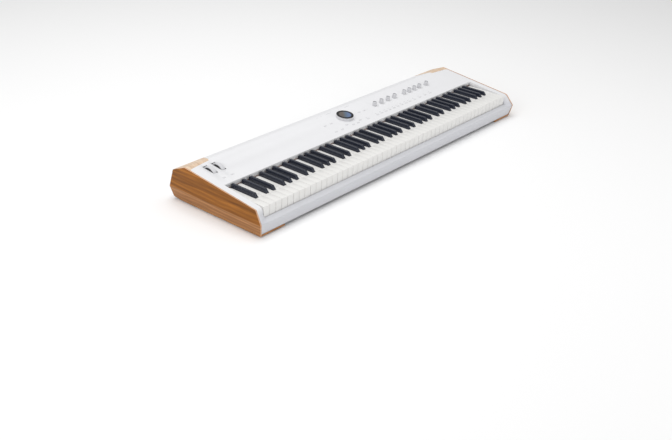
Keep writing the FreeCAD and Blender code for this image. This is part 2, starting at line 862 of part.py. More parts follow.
def arm_outline():
    """The bent sheet that covers an end block and slopes down from its rounded nose to the ledge."""
    wall = size("deck_wall")
    rear_y = back(f"{size('key_length')} + {size('fallboard_wall')}")
    nose_y = back(size("nose_setback"))
    nose_inner_y = back(f"{size('nose_setback')} + {wall} * {size('arm_nose_share')}")
    foot_y = back(f"-{size('arm_foot_setback')}")
    foot_inner_y = back(f"-{size('arm_foot_setback')} + {wall} * {size('arm_foot_share')}")
    outer = [(rear_y, deck_z(rear_y)), (nose_y, deck_z(nose_y)), (foot_y, ledge_z(foot_y))]
    inner = [(foot_inner_y, ledge_z(foot_inner_y))]
    inner += [lowered((y, deck_z(y)), wall) for y in (nose_inner_y, rear_y)]
    return outer + inner


RAIL_RIDGE_Y = f"({FRONT_Y} + {size('rail_ridge_inset')})"
RAIL_REAR_Y = f"({KEY_FRONT_Y} - {size('rail_gap')})"


def ledge_z(y):
    """Z of the front rail's sloping ledge at y."""
    rise = f"({below(size('rail_rear_depth'))} - {size('front_ridge_height')})"
    share = f"({y} - {RAIL_RIDGE_Y}) / ({RAIL_REAR_Y} - {RAIL_RIDGE_Y})"
    return f"({size('front_ridge_height')} + {rise} * {share})"


def rail_outline():
    """The front rail: a ledge in front of the keys, a ridge and an undercut face."""
    wall = size("rail_wall")
    foot_y = f"({FRONT_Y} + {size('front_foot_inset')} + {size('rail_ridge_inset')})"
    low_z = size("rail_bottom_height")
    ridge_z = size("front_ridge_height")
    lip_z = below(size("rail_lip_depth"))
    lip_y = f"({RAIL_REAR_Y} - {wall})"
    outer = [(RAIL_REAR_Y, ledge_z(RAIL_REAR_Y)), (RAIL_RIDGE_Y, ridge_z), (foot_y, low_z)]
    inner_ridge = f"({ridge_z} - {wall} * {size('rail_inner_share')})"
    inner = [(f"({foot_y} + {wall})", low_z), (f"({RAIL_RIDGE_Y} + {wall})", inner_ridge)]
    inner += [lowered((lip_y, ledge_z(lip_y)), wall), (lip_y, lip_z), (RAIL_REAR_Y, lip_z)]
    return outer + inner


def rear_outline():
    """The rear panel: from the deck's chamfer down over the rear ridge."""
    wall = size("panel_wall")
    top = (CHAMFER_Y, COVER_EDGE_Z)
    ridge = (f"({REAR_Y} - {size('rail_ridge_inset')})", size("rear_ridge_height"))
    foot = (f"({REAR_Y} - {size('rear_low_inset')})", size("rail_bottom_height"))
    outer = [top, ridge, foot]
    return outer + [(f"({y} - {wall})", z) for y, z in reversed(outer)]


def tray_outline():
    """The bottom tray: a flat floor with a short lip at the front and at the back."""
    wall = size("tray_wall")
    low = size("tray_height")
    floor = TRAY_TOP_Z
    lip = f"({TRAY_TOP_Z} + {size('tray_lip')})"
    front = f"({FRONT_Y} + {size('tray_front_inset')})"
    rear = f"({REAR_Y} - {size('tray_rear_inset')})"
    inner_front = f"({front} + {wall})"
    inner_rear = f"({rear} - {wall})"
    outline = [(front, low), (rear, low), (rear, lip), (inner_rear, lip), (inner_rear, floor)]
    return outline + [(inner_front, floor), (inner_front, lip), (front, lip)]


def block_outline():
    """The end block under an arm of the deck."""
    gap = f"({size('deck_wall')} + {size('end_block_gap')})"
    rear_y = back(f"{size('key_length')} - {size('fallboard_wall')}")
    nose_y = back(f"{size('nose_setback')} + {size('nose_radius')}")
    front_y = back(f"{size('nose_setback')} + {size('deck_wall')} + {size('end_block_inset')}")
    front_z = below(size("end_block_depth"))
    top = [lowered((y, deck_z(y)), gap) for y in (rear_y, nose_y)]
    return [(rear_y, TRAY_TOP_Z)] + top + [(front_y, front_z), (front_y, TRAY_TOP_Z)]


def cap_profile():
    """The part of the deck's bend that a corner cap takes up, a little thicker than the sheet."""
    wall = size("cap_wall")
    start_y = back(f"{size('cap_setback')} - 3 * {size('cap_round')}")
    outer = [(start_y, deck_z(start_y)), (PEAK_Y, PEAK_Z), (CHAMFER_Y, CHAMFER_Z)]
    return outer + [lowered(point, wall) for point in reversed(outer)]


def cap_plan():
    """The corner cap seen from above, on the left; its wall side runs past the side's inner face."""
    outside = f"(-{SIDE_INNER_X} - {size('cap_round')})"
    edge = f"(-{SIDE_INNER_X})"
    start = back(f"{size('cap_setback')} - 2 * {size('cap_round')}")
    rear = f"({CHAMFER_Y} + {OVERCUT})"
    tip_x = f"({edge} + {size('cap_tip_length')})"
    rear_x = f"({edge} + {size('cap_rear_length')})"
    outline = [(outside, start), (edge, start), (edge, back(size("cap_setback")))]
    return outline + [(tip_x, back(size("cap_tip_setback"))), (rear_x, rear), (outside, rear)]


def board_plan():
    """The wooden board under a front corner, seen from above, on the left."""
    edge = f"(-{SIDE_INNER_X})"
    front = f"({FRONT_Y} + {size('front_foot_inset')})"
    rear = f"({front} + {size('board_depth')})"
    tip_x = f"({edge} + {size('board_length')})"
    return [(edge, front), (tip_x, front), (f"({tip_x} - {size('board_taper')})", rear), (edge, rear)]


# ---------------------------------------------------------------------------------------------
# Places of the controls on the deck
# ---------------------------------------------------------------------------------------------
WHEELS = {
    "pitch_wheel": f"({KEYS_LEFT} + {size('wheel_offset')})",
    "mod_wheel": f"({KEYS_LEFT} + {size('wheel_offset')} + {size('wheel_pitch')})",
}
WHEEL_SLOT_WIDTH = f"({size('wheel_width')} + 2 * {size('wheel_side_gap')})"
# A slot is as long as the wheel is wide at the sheet's underside, with a gap at each end.
WHEEL_UNDERSIDE = f"({size('wheel_axle_depth')} - {size('deck_wall')})"
WHEEL_HALF_CHORD = f"sqrt({size('wheel_radius')} ^ 2 - {WHEEL_UNDERSIDE} ^ 2)"
WHEEL_SLOT_LENGTH = f"(2 * ({WHEEL_HALF_CHORD} + {size('wheel_end_gap')}))"
DIAL_X = size("dial_offset")
DIAL_Y = back(size("dial_setback"))


def in_row(offset, pitch, count):
    """X of each control in an evenly spaced row."""
    return [f"({size(offset)} + {index} * {size(pitch)})" for index in range(count)]


KNOBS = in_row("knob_offset_one", "knob_pitch_one", KNOBS_PER_BANK)
KNOBS += in_row("knob_offset_two", "knob_pitch_two", KNOBS_PER_BANK)
KNOBS += [size("knob_offset_three")]
KNOB_Y = back(size("knob_setback"))

ROW_X = [size("row_lone_offset")]
ROW_X += in_row("row_offset_one", "row_pitch_one", ROW_ONE_BUTTONS)
ROW_X += in_row("row_offset_two", "row_pitch_two", ROW_TWO_BUTTONS)
ROW_BUTTONS = [(x, back(size("row_setback"))) for x in ROW_X]


def arc_button(index):
    """The place of one of the buttons on the arc in front of the dial."""
    turn = f"({size('arc_tilt')} - ({index} - {(ARC_BUTTONS - 1) / 2}) * {size('arc_pitch')})"
    x = f"({DIAL_X} - {size('arc_radius')} * sin({turn}))"
    return x, f"({DIAL_Y} - {size('arc_radius')} * cos({turn}))"


LEFT_PAIR = in_row("left_pair_offset", "left_pair_pitch", 2)
RIGHT_PAIR = in_row("right_pair_offset", "right_pair_pitch", 2)
PANEL_BUTTONS = [arc_button(index) for index in range(ARC_BUTTONS)]
for setback in ("upper_setback", "row_setback"):
    PANEL_BUTTONS += [(x, back(size(setback))) for x in LEFT_PAIR]
PANEL_BUTTONS += [(x, back(size("upper_setback"))) for x in RIGHT_PAIR]
PANEL_BUTTONS += [(x, back(size("wheel_button_setback"))) for x in WHEELS.values()]


def button(name, x, y, gap, low, high):
    """A rounded block on the deck: a button, or with a gap its hole."""
    length = f"({size('button_length')} + 2 * {gap})"
    width = f"({size('button_width')} + 2 * {gap})"
    lengths = (length, width, f"({high} - ({low}))")
    block = deck_box(name + "_block", x, y, lengths, low)
    DOC.recompute()
    fillet = DOC.addObject("Part::Fillet", name)
    fillet.Base = block
    radius = value(f"{size('button_round')} + {gap}")
    fillet.Edges = [(index, radius, radius) for index in upright_edges(block.Shape)]
    return fillet


def upright_edges(shape):
    """The numbers of a deck block's four edges along the deck's normal."""
    slope = math.radians(value(size("deck_slope")))
    normal = Vector(0, -math.sin(slope), math.cos(slope))
    numbers = []
    for index, edge in enumerate(shape.Edges, start=1):
        if abs(edge.tangentAt(edge.FirstParameter).dot(normal)) > PARALLEL:
            numbers.append(index)
    return numbers


def button_set(label, places):
    """A group of buttons that share a node."""
    low = f"-{size('button_stem')}"
    high = size("button_height")
    buttons = [button(f"{label}_{index}", x, y, "0", low, high) for index, (x, y) in enumerate(places)]
    return node(group(label, buttons), label)


# ---------------------------------------------------------------------------------------------
# Assembly
# ---------------------------------------------------------------------------------------------
def build_keys():
    """Twelve groups of keys and twelve groups of hammers."""
    for note in NOTES:
        label = f"keys_{note}"
        node(coded(label, key_group(note)), label)
    for note in NOTES:
        label = f"hammers_{note}"
        node(coded(label, hammer_group(note)), label)


def build_action():
    """The frame, the rods, the contact board and the felts."""
    node(coded("key_frame", key_frame()), "key_frame")
    span = f"(2 * ({SIDE_INNER_X} - {size('cheek_width')}))"
    key_rod = cylinder_x("key_rod", (KEYS_LEFT, back(size("pivot_setback")), below(size("pivot_depth"))),
                         size("rod_radius"), span)
    hammer_start = (KEYS_LEFT, back(size("hammer_setback")), below(size("hammer_depth")))
    hammer_rod = cylinder_x("hammer_rod", hammer_start, size("rod_radius"), span)
    node(group("pivot_rods", [key_rod, hammer_rod]), "pivot_rods")
    board_low = (KEYS_LEFT, back(size("contact_board_setback")),
                 below(f"{size('contact_board_depth')} + {size('contact_board_wall')}"))
    board = box("contact_sheet", board_low, (span, size("contact_board_width"), size("contact_board_wall")))
    strip_y = back(f"{size('actuator_setback')} - {size('contact_strip_width')} / 2")
    strip_low = (KEYS_LEFT, strip_y, below(size("contact_board_depth")))
    strip_sides = (span, size("contact_strip_width"), size("contact_strip_height"))
    strip = box("contact_strip", strip_low, strip_sides)
    node(group("key_contact_board", [board, strip]), "key_contact_board")
    tail_depth = f"({size('hammer_depth')} + {size('hammer_tail_drop')} + {size('hammer_tail_height')})"
    rest_y = back(f"{size('hammer_setback')} + {size('hammer_tail')} - {size('felt_width')}")
    rest_height = f"({below(tail_depth)} - {size('felt_clearance')} - {PLATE_TOP_Z})"
    rest_sides = (span, size("felt_width"), rest_height)
    rest = box("hammer_rest_felt", (KEYS_LEFT, rest_y, PLATE_TOP_Z), rest_sides)
    felt_y = back(f"{size('key_length')} + {size('fallboard_felt_inset')}")
    felt_sides = (span, f"({size('fallboard_wall')} - {size('fallboard_felt_inset')})",
                  f"({size('fallboard_gap')} - {size('fallboard_felt_gap')})")
    felt_low = (KEYS_LEFT, felt_y, below(f"-{size('fallboard_felt_gap')}"))
    strip_felt = box("fallboard_felt", felt_low, felt_sides)
    node(group("felt_strips", [rest, strip_felt]), "felt_strips")


def build_case():
    """The tray, the covers, the end blocks and the wooden pieces."""
    width = f"(2 * {SIDE_INNER_X})"
    left = f"(-{SIDE_INNER_X})"
    tray = prism_x("tray_body", tray_outline(), left, width)
    tray_low = value(size("tray_height"))
    tray_places = frame_screw_places() + block_screw_places()
    holes = screw_holes(tray_places, tray_low - OVERCUT, value(TRAY_TOP_Z) + OVERCUT)
    tray_holes = coded("tray_holes", holes)
    node(cut("base_tray", tray, [tray_holes]), "base_tray")
    rail = prism_x("front_rail", rail_outline(), left, width, {1: size("rail_ridge_round")})
    node(rail, "front_rail")
    rear = prism_x("rear_body", rear_outline(), left, width)
    gap = size("bay_gap")
    window_low = (f"({size('bay_left')} - {gap})", BAY_BACK_Y, f"({size('bay_low_height')} - {gap})")
    window_width = f"({size('bay_right')} - {size('bay_left')} + 2 * {gap})"
    window_height = f"({size('bay_top_height')} - {size('bay_low_height')} + 2 * {gap})"
    window = box("rear_window", window_low, (window_width, size("bay_back_inset"), window_height))
    node(cut("rear_panel", rear, [window]), "rear_panel")
    block_width = f"({size('cheek_width')} - {size('field_gap')})"
    block = prism_x("block_body", block_outline(), left, block_width)
    pilot_top = tray_low + value(size("block_screw_grip"))
    pilots = coded("block_pilots", screw_holes(block_screw_places(), tray_low, pilot_top))
    left_block = cut("left_end_block", block, [pilots])
    node(left_block, "left_end_block")
    node(mirrored("right_end_block", left_block), "right_end_block")
    right_side = coded("right_side_panel", side_panel())
    node(right_side, "right_side_panel")
    node(mirrored("left_side_panel", right_side), "left_side_panel")
    thick = f"({size('tray_height')} - {size('side_bottom_height')})"
    board = prism_z("left_board", board_plan(), size("side_bottom_height"), thick)
    node(group("base_boards", [board, mirrored("right_board", board)]), "base_boards")


def build_caps():
    """The corner caps, and the same plan as the cutter for the deck."""
    plan = prism_z("cap_plan", cap_plan(), "0", f"({PEAK_Z} + {PLAN_MARGIN})", {2: size("cap_round")})
    reach = f"({size('cap_rear_length')} + {PLAN_MARGIN})"
    bend = prism_x("cap_bend", cap_profile(), f"(-{SIDE_INNER_X})", reach)
    left_cap = DOC.addObject("Part::Common", "left_cap")
    left_cap.Base = bend
    left_cap.Tool = plan
    node(group("corner_caps", [left_cap, mirrored("right_cap", left_cap)]), "corner_caps")
    return plan


def build_deck(cap_cutter):
    """The top cover, with an arm over each end block and holes for every control."""
    width = f"(2 * {SIDE_INNER_X})"
    left = f"(-{SIDE_INNER_X})"
    panel = prism_x("deck_panel", deck_outline(), left, width, {1: size("fallboard_round")})
    arm_width = f"({size('cheek_width')} - {size('field_gap')})"
    inner_radius = f"({size('nose_radius')} - {size('deck_wall')})"
    arm = prism_x("deck_arm", arm_outline(), left, arm_width, {1: size("nose_radius"), 4: inner_radius})
    sink = size("dial_flange_sink")
    flange = deck_cylinder("dial_flange", DIAL_X, DIAL_Y, size("dial_flange_radius"), f"-{sink}",
                           f"({size('dial_flange_height')} + {sink})")
    whole = fuse("deck_whole", [panel, arm, mirrored("deck_arm_right", arm), flange])
    deep = f"(-{SHEETS_DEEP} * {size('deck_wall')})"
    through = f"(2 * {SHEETS_DEEP} * {size('deck_wall')})"
    slot = (WHEEL_SLOT_WIDTH, WHEEL_SLOT_LENGTH, through)
    slot_y = back(size("wheel_setback"))
    tools = [deck_box(f"{name}_slot", x, slot_y, slot, deep) for name, x in WHEELS.items()]
    tools.append(deck_cylinder("dial_hole", DIAL_X, DIAL_Y, size("dial_bore_radius"), deep, through))
    hole_radius = f"({size('shaft_radius')} + {size('shaft_hole_gap')})"
    for index, x in enumerate(KNOBS):
        tools.append(deck_cylinder(f"knob_hole_{index}", x, KNOB_Y, hole_radius, deep, through))
    for index, (x, y) in enumerate(ROW_BUTTONS + PANEL_BUTTONS):
        tools.append(button(f"button_hole_{index}", x, y, size("button_gap"), deep, size("deck_wall")))
    tools += [cap_cutter, mirrored("cap_cutter_right", cap_cutter)]
    node(cut("top_cover", whole, tools), "top_cover")


def build_wheels():
    """Two wheels on one axle, and the bracket that hangs under the deck."""
    y = back(size("wheel_setback"))
    bore = f"({size('axle_radius')} + {size('running_clearance')})"
    rim = size("wheel_radius")
    edge = size("wheel_edge")
    half = f"({size('wheel_width')} / 2)"
    outline = [(bore, f"-{half}"), (f"({rim} - {edge})", f"-{half}"), (rim, f"(-{half} + {edge})")]
    outline += [(rim, f"({half} - {edge})"), (f"({rim} - {edge})", half), (bore, half)]
    for name, x in WHEELS.items():
        wheel = turned(name, outline)
        place(wheel, deck_point(x, y, "0", f"-{size('wheel_axle_depth')}"), Vector(0, 1, 0), "90")
        node(wheel, name)
    wall = size("wheel_cheek_wall")
    first, second = WHEELS.values()
    reach = f"({WHEEL_SLOT_WIDTH} / 2 + {size('wheel_cheek_gap')} + {wall} / 2)"
    low = f"-{size('wheel_cheek_depth')}"
    sides = (wall, size("wheel_cheek_length"), f"({size('wheel_cheek_depth')} - {size('deck_wall')})")
    places = [f"({first} - {reach})", f"(({first} + {second}) / 2)", f"({second} + {reach})"]
    plates = [deck_box(f"wheel_cheek_{index}", x, y, sides, low) for index, x in enumerate(places)]
    axle_start = deck_point(f"({first} - {reach} - {wall} / 2)", y, "0", f"-{size('wheel_axle_depth')}")
    axle_length = f"({size('wheel_pitch')} + 2 * {reach} + {wall})"
    plates.append(cylinder_x("wheel_axle", axle_start, size("axle_radius"), axle_length))
    node(fuse("wheel_bracket", plates), "wheel_bracket")


def build_dial():
    """The turning ring, the fixed bezel inside it and the lens."""
    low = f"({size('dial_flange_height')} + {size('dial_lift')})"
    bore = size("dial_bore_radius")
    rim = size("dial_radius")
    high = size("dial_height")
    flare = f"({rim} + {size('dial_flare')})"
    ring = turned("dial_ring", [(bore, low), (flare, low), (rim, high), (bore, high)])
    stem = size("bezel_stem_radius")
    stem_inner = f"({stem} - {size('bezel_stem_wall')})"
    top = size("bezel_height")
    seat = f"({top} - {size('lens_wall')} - {size('lens_gap')})"
    ledge = f"({size('lens_radius')} - {size('lens_ledge')})"
    window = f"({size('lens_radius')} + {size('lens_gap')})"
    under = f"({top} - {size('bezel_rim')})"
    ledge_low = f"({seat} - {size('bezel_ledge_wall')})"
    edge = size("bezel_edge")
    stem_low = f"-{size('board_drop')}"
    outline = [(ledge, ledge_low), (ledge, seat), (window, seat), (window, top)]
    outline += [(f"({rim} - {edge})", top), (rim, f"({top} - {edge})"), (rim, under), (stem, under)]
    outline += [(stem, stem_low), (stem_inner, stem_low), (stem_inner, ledge_low)]
    bezel = turned("display_bezel", outline)
    lens = deck_cylinder("display_lens", DIAL_X, DIAL_Y, size("lens_radius"), seat, size("lens_wall"))
    for item in (ring, bezel):
        place(item, deck_point(DIAL_X, DIAL_Y, "0", "0"), Vector(1, 0, 0), size("deck_slope"))
    node(ring, "dial_ring")
    node(bezel, "display_bezel")
    node(lens, "display_lens")


def build_knobs():
    """Nine knobs, each with its shaft."""
    shaft = size("shaft_radius")
    lift = size("knob_lift")
    top = size("knob_height")
    groove = size("knob_groove_radius")
    groove_inner = f"({groove} - {size('knob_groove_width')})"
    groove_floor = f"({top} - {size('knob_groove_depth')})"
    outline = [("0", f"-{size('shaft_end')}"), (shaft, f"-{size('shaft_end')}"), (shaft, lift)]
    outline += [(size("knob_radius"), lift), (size("knob_top_radius"), top), (groove, top)]
    outline += [(groove, groove_floor), (groove_inner, groove_floor), (groove_inner, top), ("0", top)]
    for index, x in enumerate(KNOBS, start=1):
        label = f"knob_{index}"
        knob = turned(label, outline)
        place(knob, deck_point(x, KNOB_Y, "0", "0"), Vector(1, 0, 0), size("deck_slope"))
        node(knob, label)


def build_control_board():
    """The board under the deck, with the knobs' pots, the buttons' switches and the display."""
    drop = f"-{size('board_drop')}"
    middle = f"(({size('control_board_left')} + {size('control_board_right')}) / 2)"
    length = f"({size('control_board_right')} - {size('control_board_left')})"
    depth = f"({size('control_board_rear')} - {size('control_board_front')})"
    middle_y = back(f"({size('control_board_rear')} + {size('control_board_front')}) / 2")
    pieces = [deck_box("control_sheet", middle, middle_y, (length, depth, size("board_wall")),
                       f"({drop} - {size('board_wall')})")]
    pot_height = f"({size('board_drop')} - {size('deck_wall')} - {size('pot_gap')})"
    pot_sides = (size("pot_size"), size("pot_size"), pot_height)
    bore = f"({size('shaft_radius')} + {size('running_clearance')})"
    for index, x in enumerate(KNOBS):
        pot = deck_box(f"pot_block_{index}", x, KNOB_Y, pot_sides, drop)
        hole = deck_cylinder(f"pot_bore_{index}", x, KNOB_Y, bore, drop, size("board_drop"))
        pieces.append(cut(f"pot_{index}", pot, [hole]))
    switch_height = f"({size('board_drop')} - {size('button_stem')} - {size('switch_gap')})"
    switch_sides = (size("switch_size"), size("switch_size"), switch_height)
    for index, (x, y) in enumerate(ROW_BUTTONS + PANEL_BUTTONS[:-len(WHEELS)]):
        pieces.append(deck_box(f"switch_{index}", x, y, switch_sides, drop))
    lens_seat = f"({size('lens_wall')} + {size('lens_gap')} + {size('bezel_ledge_wall')})"
    over_screen = f"({lens_seat} + {size('screen_gap')})"
    screen_radius = f"({size('lens_radius')} - {size('lens_ledge')})"
    screen_height = f"({size('bezel_height')} - {over_screen} + {size('board_drop')})"
    screen = deck_cylinder("display_module", DIAL_X, DIAL_Y, screen_radius, drop, screen_height)
    node(group("control_board", pieces + [screen]), "control_board")


def build_connectors():
    """The recessed connector plate, and the sockets fixed to it."""
    left = size("bay_left")
    low = size("bay_low_height")
    wall = size("bay_wall")
    width = f"({size('bay_right')} - {left})"
    height = f"({size('bay_top_height')} - {low})"
    shell = box("bay_shell", (left, BAY_BACK_Y, low), (width, size("bay_depth"), height))
    inside_low = (f"({left} + {wall})", f"({BAY_BACK_Y} + {wall})", f"({low} + {wall})")
    inside_sides = (f"({width} - 2 * {wall})", size("bay_depth"), f"({height} - 2 * {wall})")
    inside = box("bay_inside", inside_low, inside_sides)
    middle = f"(({low} + {size('bay_top_height')}) / 2)"
    nose_end = f"({BAY_BACK_Y} + {size('jack_nose')})"
    hole_radius = f"({size('jack_nose_radius')} + {size('nose_gap')})"
    half = f"({size('jack_size')} / 2)"
    holes = [inside]
    sockets = []
    jack = (size("jack_radius"), size("jack_body"), size("jack_bore"))
    power = (size("power_radius"), size("power_bore"), size("power_bore"))
    rows = enumerate(in_row("jack_offset", "jack_pitch", JACKS))
    places = [(f"jack_{index}", x, *jack) for index, x in rows]
    places.append(("power_inlet", size("power_offset"), *power))
    for name, x, radius, body, bore in places:
        mouth = (x, nose_end, middle)
        block_low = (f"({x} - {half})", f"({BAY_BACK_Y} - {body})", f"({middle} - {half})")
        block = box(f"{name}_block", block_low, (size("jack_size"), body, size("jack_size")))
        nose_length = f"({size('jack_nose')} + {OVERCUT})"
        nose = cylinder_y(f"{name}_nose", mouth, size("jack_nose_radius"), nose_length)
        whole = fuse(f"{name}_whole", [block, nose])
        sockets.append(cut(name, whole, [cylinder_y(f"{name}_bore", mouth, radius, bore)]))
        hole_start = (x, f"({BAY_BACK_Y} + {wall} + {OVERCUT})", middle)
        hole_length = f"({wall} + 2 * {OVERCUT})"
        holes.append(cylinder_y(f"{name}_hole", hole_start, hole_radius, hole_length))
    shell_wall = size("usb_wall")
    usb_x = f"({size('usb_offset')} - {size('usb_width')} / 2)"
    usb_z = f"({middle} - {size('usb_height')} / 2)"
    mouth_y = f"({BAY_BACK_Y} + {wall})"
    inner = box("usb_inside", (usb_x, f"({mouth_y} - {size('usb_bore')})", usb_z),
                (size("usb_width"), f"({size('usb_bore')} + {wall})", size("usb_height")))
    outer_low = (f"({usb_x} - {shell_wall})", f"({mouth_y} - {size('usb_bore')} - {shell_wall})",
                 f"({usb_z} - {shell_wall})")
    outer_sides = (f"({size('usb_width')} + 2 * {shell_wall})", f"({size('usb_bore')} + {shell_wall})",
                   f"({size('usb_height')} + 2 * {shell_wall})")
    outer = box("usb_outside", outer_low, outer_sides)
    sockets.append(cut("usb_socket", outer, [inner]))
    usb_gap = size("nose_gap")
    border = f"({shell_wall} + {usb_gap})"
    window_low = (f"({usb_x} - {border})", f"({BAY_BACK_Y} - {OVERCUT})", f"({usb_z} - {border})")
    window_sides = (f"({size('usb_width')} + 2 * {border})", f"({wall} + 2 * {OVERCUT})",
                    f"({size('usb_height')} + 2 * {border})")
    holes.append(box("usb_window", window_low, window_sides))
    node(cut("jack_plate", shell, holes), "jack_plate")
    node(group("rear_sockets", sockets), "rear_sockets")


def build_feet_and_screws():
    """Rubber feet, and the screws that go in from below."""
    feet = []
    for x_index, x in enumerate((f"-{size('foot_side_offset')}", "0", size("foot_side_offset"))):
        for y_index, setback in enumerate(("foot_front_setback", "foot_rear_setback")):
            foot = DOC.addObject("Part::Cone", f"foot_{x_index}_{y_index}")
            foot.setExpression("Radius1", size("foot_radius"))
            foot.setExpression("Radius2", size("foot_top_radius"))
            foot.setExpression("Height", size("tray_height"))
            place(foot, (x, back(size(setback)), "0"))
            feet.append(foot)
    node(group("rubber_feet", feet), "rubber_feet")
    node(coded("case_screws", case_screws()), "case_screws")


def check_and_write():
    """Stop on any failed object, then write one file per sub-part."""
    for item in DOC.Objects:
        if "Invalid" in item.State or "Error" in item.State:
            raise RuntimeError(f"{item.Name} failed: {item.State}")
    for item in NODES:
        if item.Shape.isNull() or not item.Shape.isValid() or not item.Shape.Solids:
            raise RuntimeError(f"{item.Label} has no valid solid")
    os.makedirs("parts", exist_ok=True)
    for item in NODES:
        item.Shape.exportStep(f"parts/{item.Label}.step")
    print(len(NODES), "sub-parts written")


build_keys()
build_action()
build_case()
build_deck(build_caps())
build_wheels()
build_dial()
build_knobs()
button_set("row_buttons", ROW_BUTTONS)
button_set("panel_buttons", PANEL_BUTTONS)
build_control_board()
build_connectors()
build_feet_and_screws()
DOC.recompute()
check_and_write()
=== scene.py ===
import logging
import math
from dataclasses import dataclass
from enum import Enum

import bmesh
import bpy
import numpy as np
from mathutils import Matrix, Vector


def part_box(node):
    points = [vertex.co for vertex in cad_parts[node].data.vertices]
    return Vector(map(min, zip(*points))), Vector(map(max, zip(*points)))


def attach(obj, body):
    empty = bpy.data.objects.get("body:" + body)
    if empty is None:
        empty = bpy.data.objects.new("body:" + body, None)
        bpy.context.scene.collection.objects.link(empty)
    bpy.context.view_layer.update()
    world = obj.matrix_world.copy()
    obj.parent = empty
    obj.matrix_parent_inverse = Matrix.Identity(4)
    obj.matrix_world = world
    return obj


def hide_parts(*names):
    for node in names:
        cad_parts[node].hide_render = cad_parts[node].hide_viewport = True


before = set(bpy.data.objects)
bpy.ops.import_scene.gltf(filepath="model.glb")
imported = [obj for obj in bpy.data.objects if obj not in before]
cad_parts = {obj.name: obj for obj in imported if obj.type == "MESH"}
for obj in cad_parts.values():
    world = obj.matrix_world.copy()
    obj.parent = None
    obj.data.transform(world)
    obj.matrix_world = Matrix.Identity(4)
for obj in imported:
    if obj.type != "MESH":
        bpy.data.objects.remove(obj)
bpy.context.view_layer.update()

LOG = logging.getLogger("stage_piano")
MM = 0.001
BLACK_STEPS = (1, 3, 6, 8, 10)
NOTES = ("c", "c_sharp", "d", "d_sharp", "e", "f", "f_sharp", "g", "g_sharp", "a", "a_sharp", "b")


class Body(Enum):
    """The bodies that pieces ride on, apart from the keys' and the knobs'."""

    CASE = "case"
    DIAL = "dial"
    PITCH = "pitch_wheel"
    MODULATION = "mod_wheel"
    ROW = "row_buttons"
    PANEL = "panel_buttons"


class Side(Enum):
    """The two ends of the case, as the sign of X."""

    BASS = -1
    TREBLE = 1


# ------------------------------------------------------------------------------------------
# Places and the deck
# ------------------------------------------------------------------------------------------
@dataclass(frozen=True)
class Places:
    """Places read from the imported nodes, in metres.

    Attributes:
        key_front: Y of the white keys' fronts.
        key_top: Z of the white keys' tops.
        keys_left: X of the keyboard's bass edge.
        side_inner: distance of a side panel's inner face from the middle.
        side_outer: distance of a side panel's ridge from the middle.
        case_front: Y of the case's front ridge.
        case_rear: Y of the case's rear ridge.
        side_low: Z of the side panels' lower edge.
    """

    key_front: float
    key_top: float
    keys_left: float
    side_inner: float
    side_outer: float
    case_front: float
    case_rear: float
    side_low: float

    @classmethod
    def read(cls) -> "Places":
        """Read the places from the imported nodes.

        Returns:
            The places.
        """
        keys_low, keys_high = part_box("keys_c")
        bass_low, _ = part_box("keys_a")
        side_low, side_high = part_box("right_side_panel")
        return cls(
            key_front=keys_low.y,
            key_top=keys_high.z,
            keys_left=bass_low.x - 0.5 * MM,
            side_inner=side_low.x,
            side_outer=side_high.x,
            case_front=side_low.y,
            case_rear=side_high.y,
            side_low=side_low.z,
        )


PLACES = Places.read()


@dataclass(frozen=True)
class Deck:
    """The sloping deck, its rear bend and the chamfer behind it."""

    slope: float = math.radians(6.9)
    start_setback: float = 5.0 * MM
    start_drop: float = 2.0 * MM
    fallboard_setback: float = 150.0 * MM
    chamfer_run: float = 60.0 * MM
    chamfer_inset: float = 10.0 * MM
    chamfer_height: float = 91.0 * MM

    def height(self, y: np.ndarray | float) -> np.ndarray | float:
        """Z of the deck's plane: its start, plus the run times the slope's tangent.

        Args:
            y: one or more Y values.

        Returns:
            The height at each.
        """
        start = PLACES.key_front + self.start_setback
        return PLACES.key_top - self.start_drop + (y - start) * math.tan(self.slope)

    @property
    def peak(self) -> tuple[float, float]:
        """The (y, z) corner between the deck and the chamfer."""
        y = PLACES.case_rear - self.chamfer_run
        return y, self.height(y)

    @property
    def rear(self) -> tuple[float, float]:
        """The (y, z) corner at the chamfer's lower edge."""
        return PLACES.case_rear - self.chamfer_inset, self.chamfer_height

    def frame_at(self, x: float, setback: float) -> tuple[np.ndarray, np.ndarray, np.ndarray, np.ndarray]:
        """A local frame on the deck.

        Args:
            x: X of the place.
            setback: distance behind the white keys' fronts.

        Returns:
            Its origin, and the unit vectors across, up the slope and along the normal.
        """
        y = PLACES.key_front + setback
        origin = np.array([x, y, self.height(y)])
        along = np.array([0.0, math.cos(self.slope), math.sin(self.slope)])
        normal = np.array([0.0, -math.sin(self.slope), math.cos(self.slope)])
        return origin, np.array([1.0, 0.0, 0.0]), along, normal


DECK = Deck()


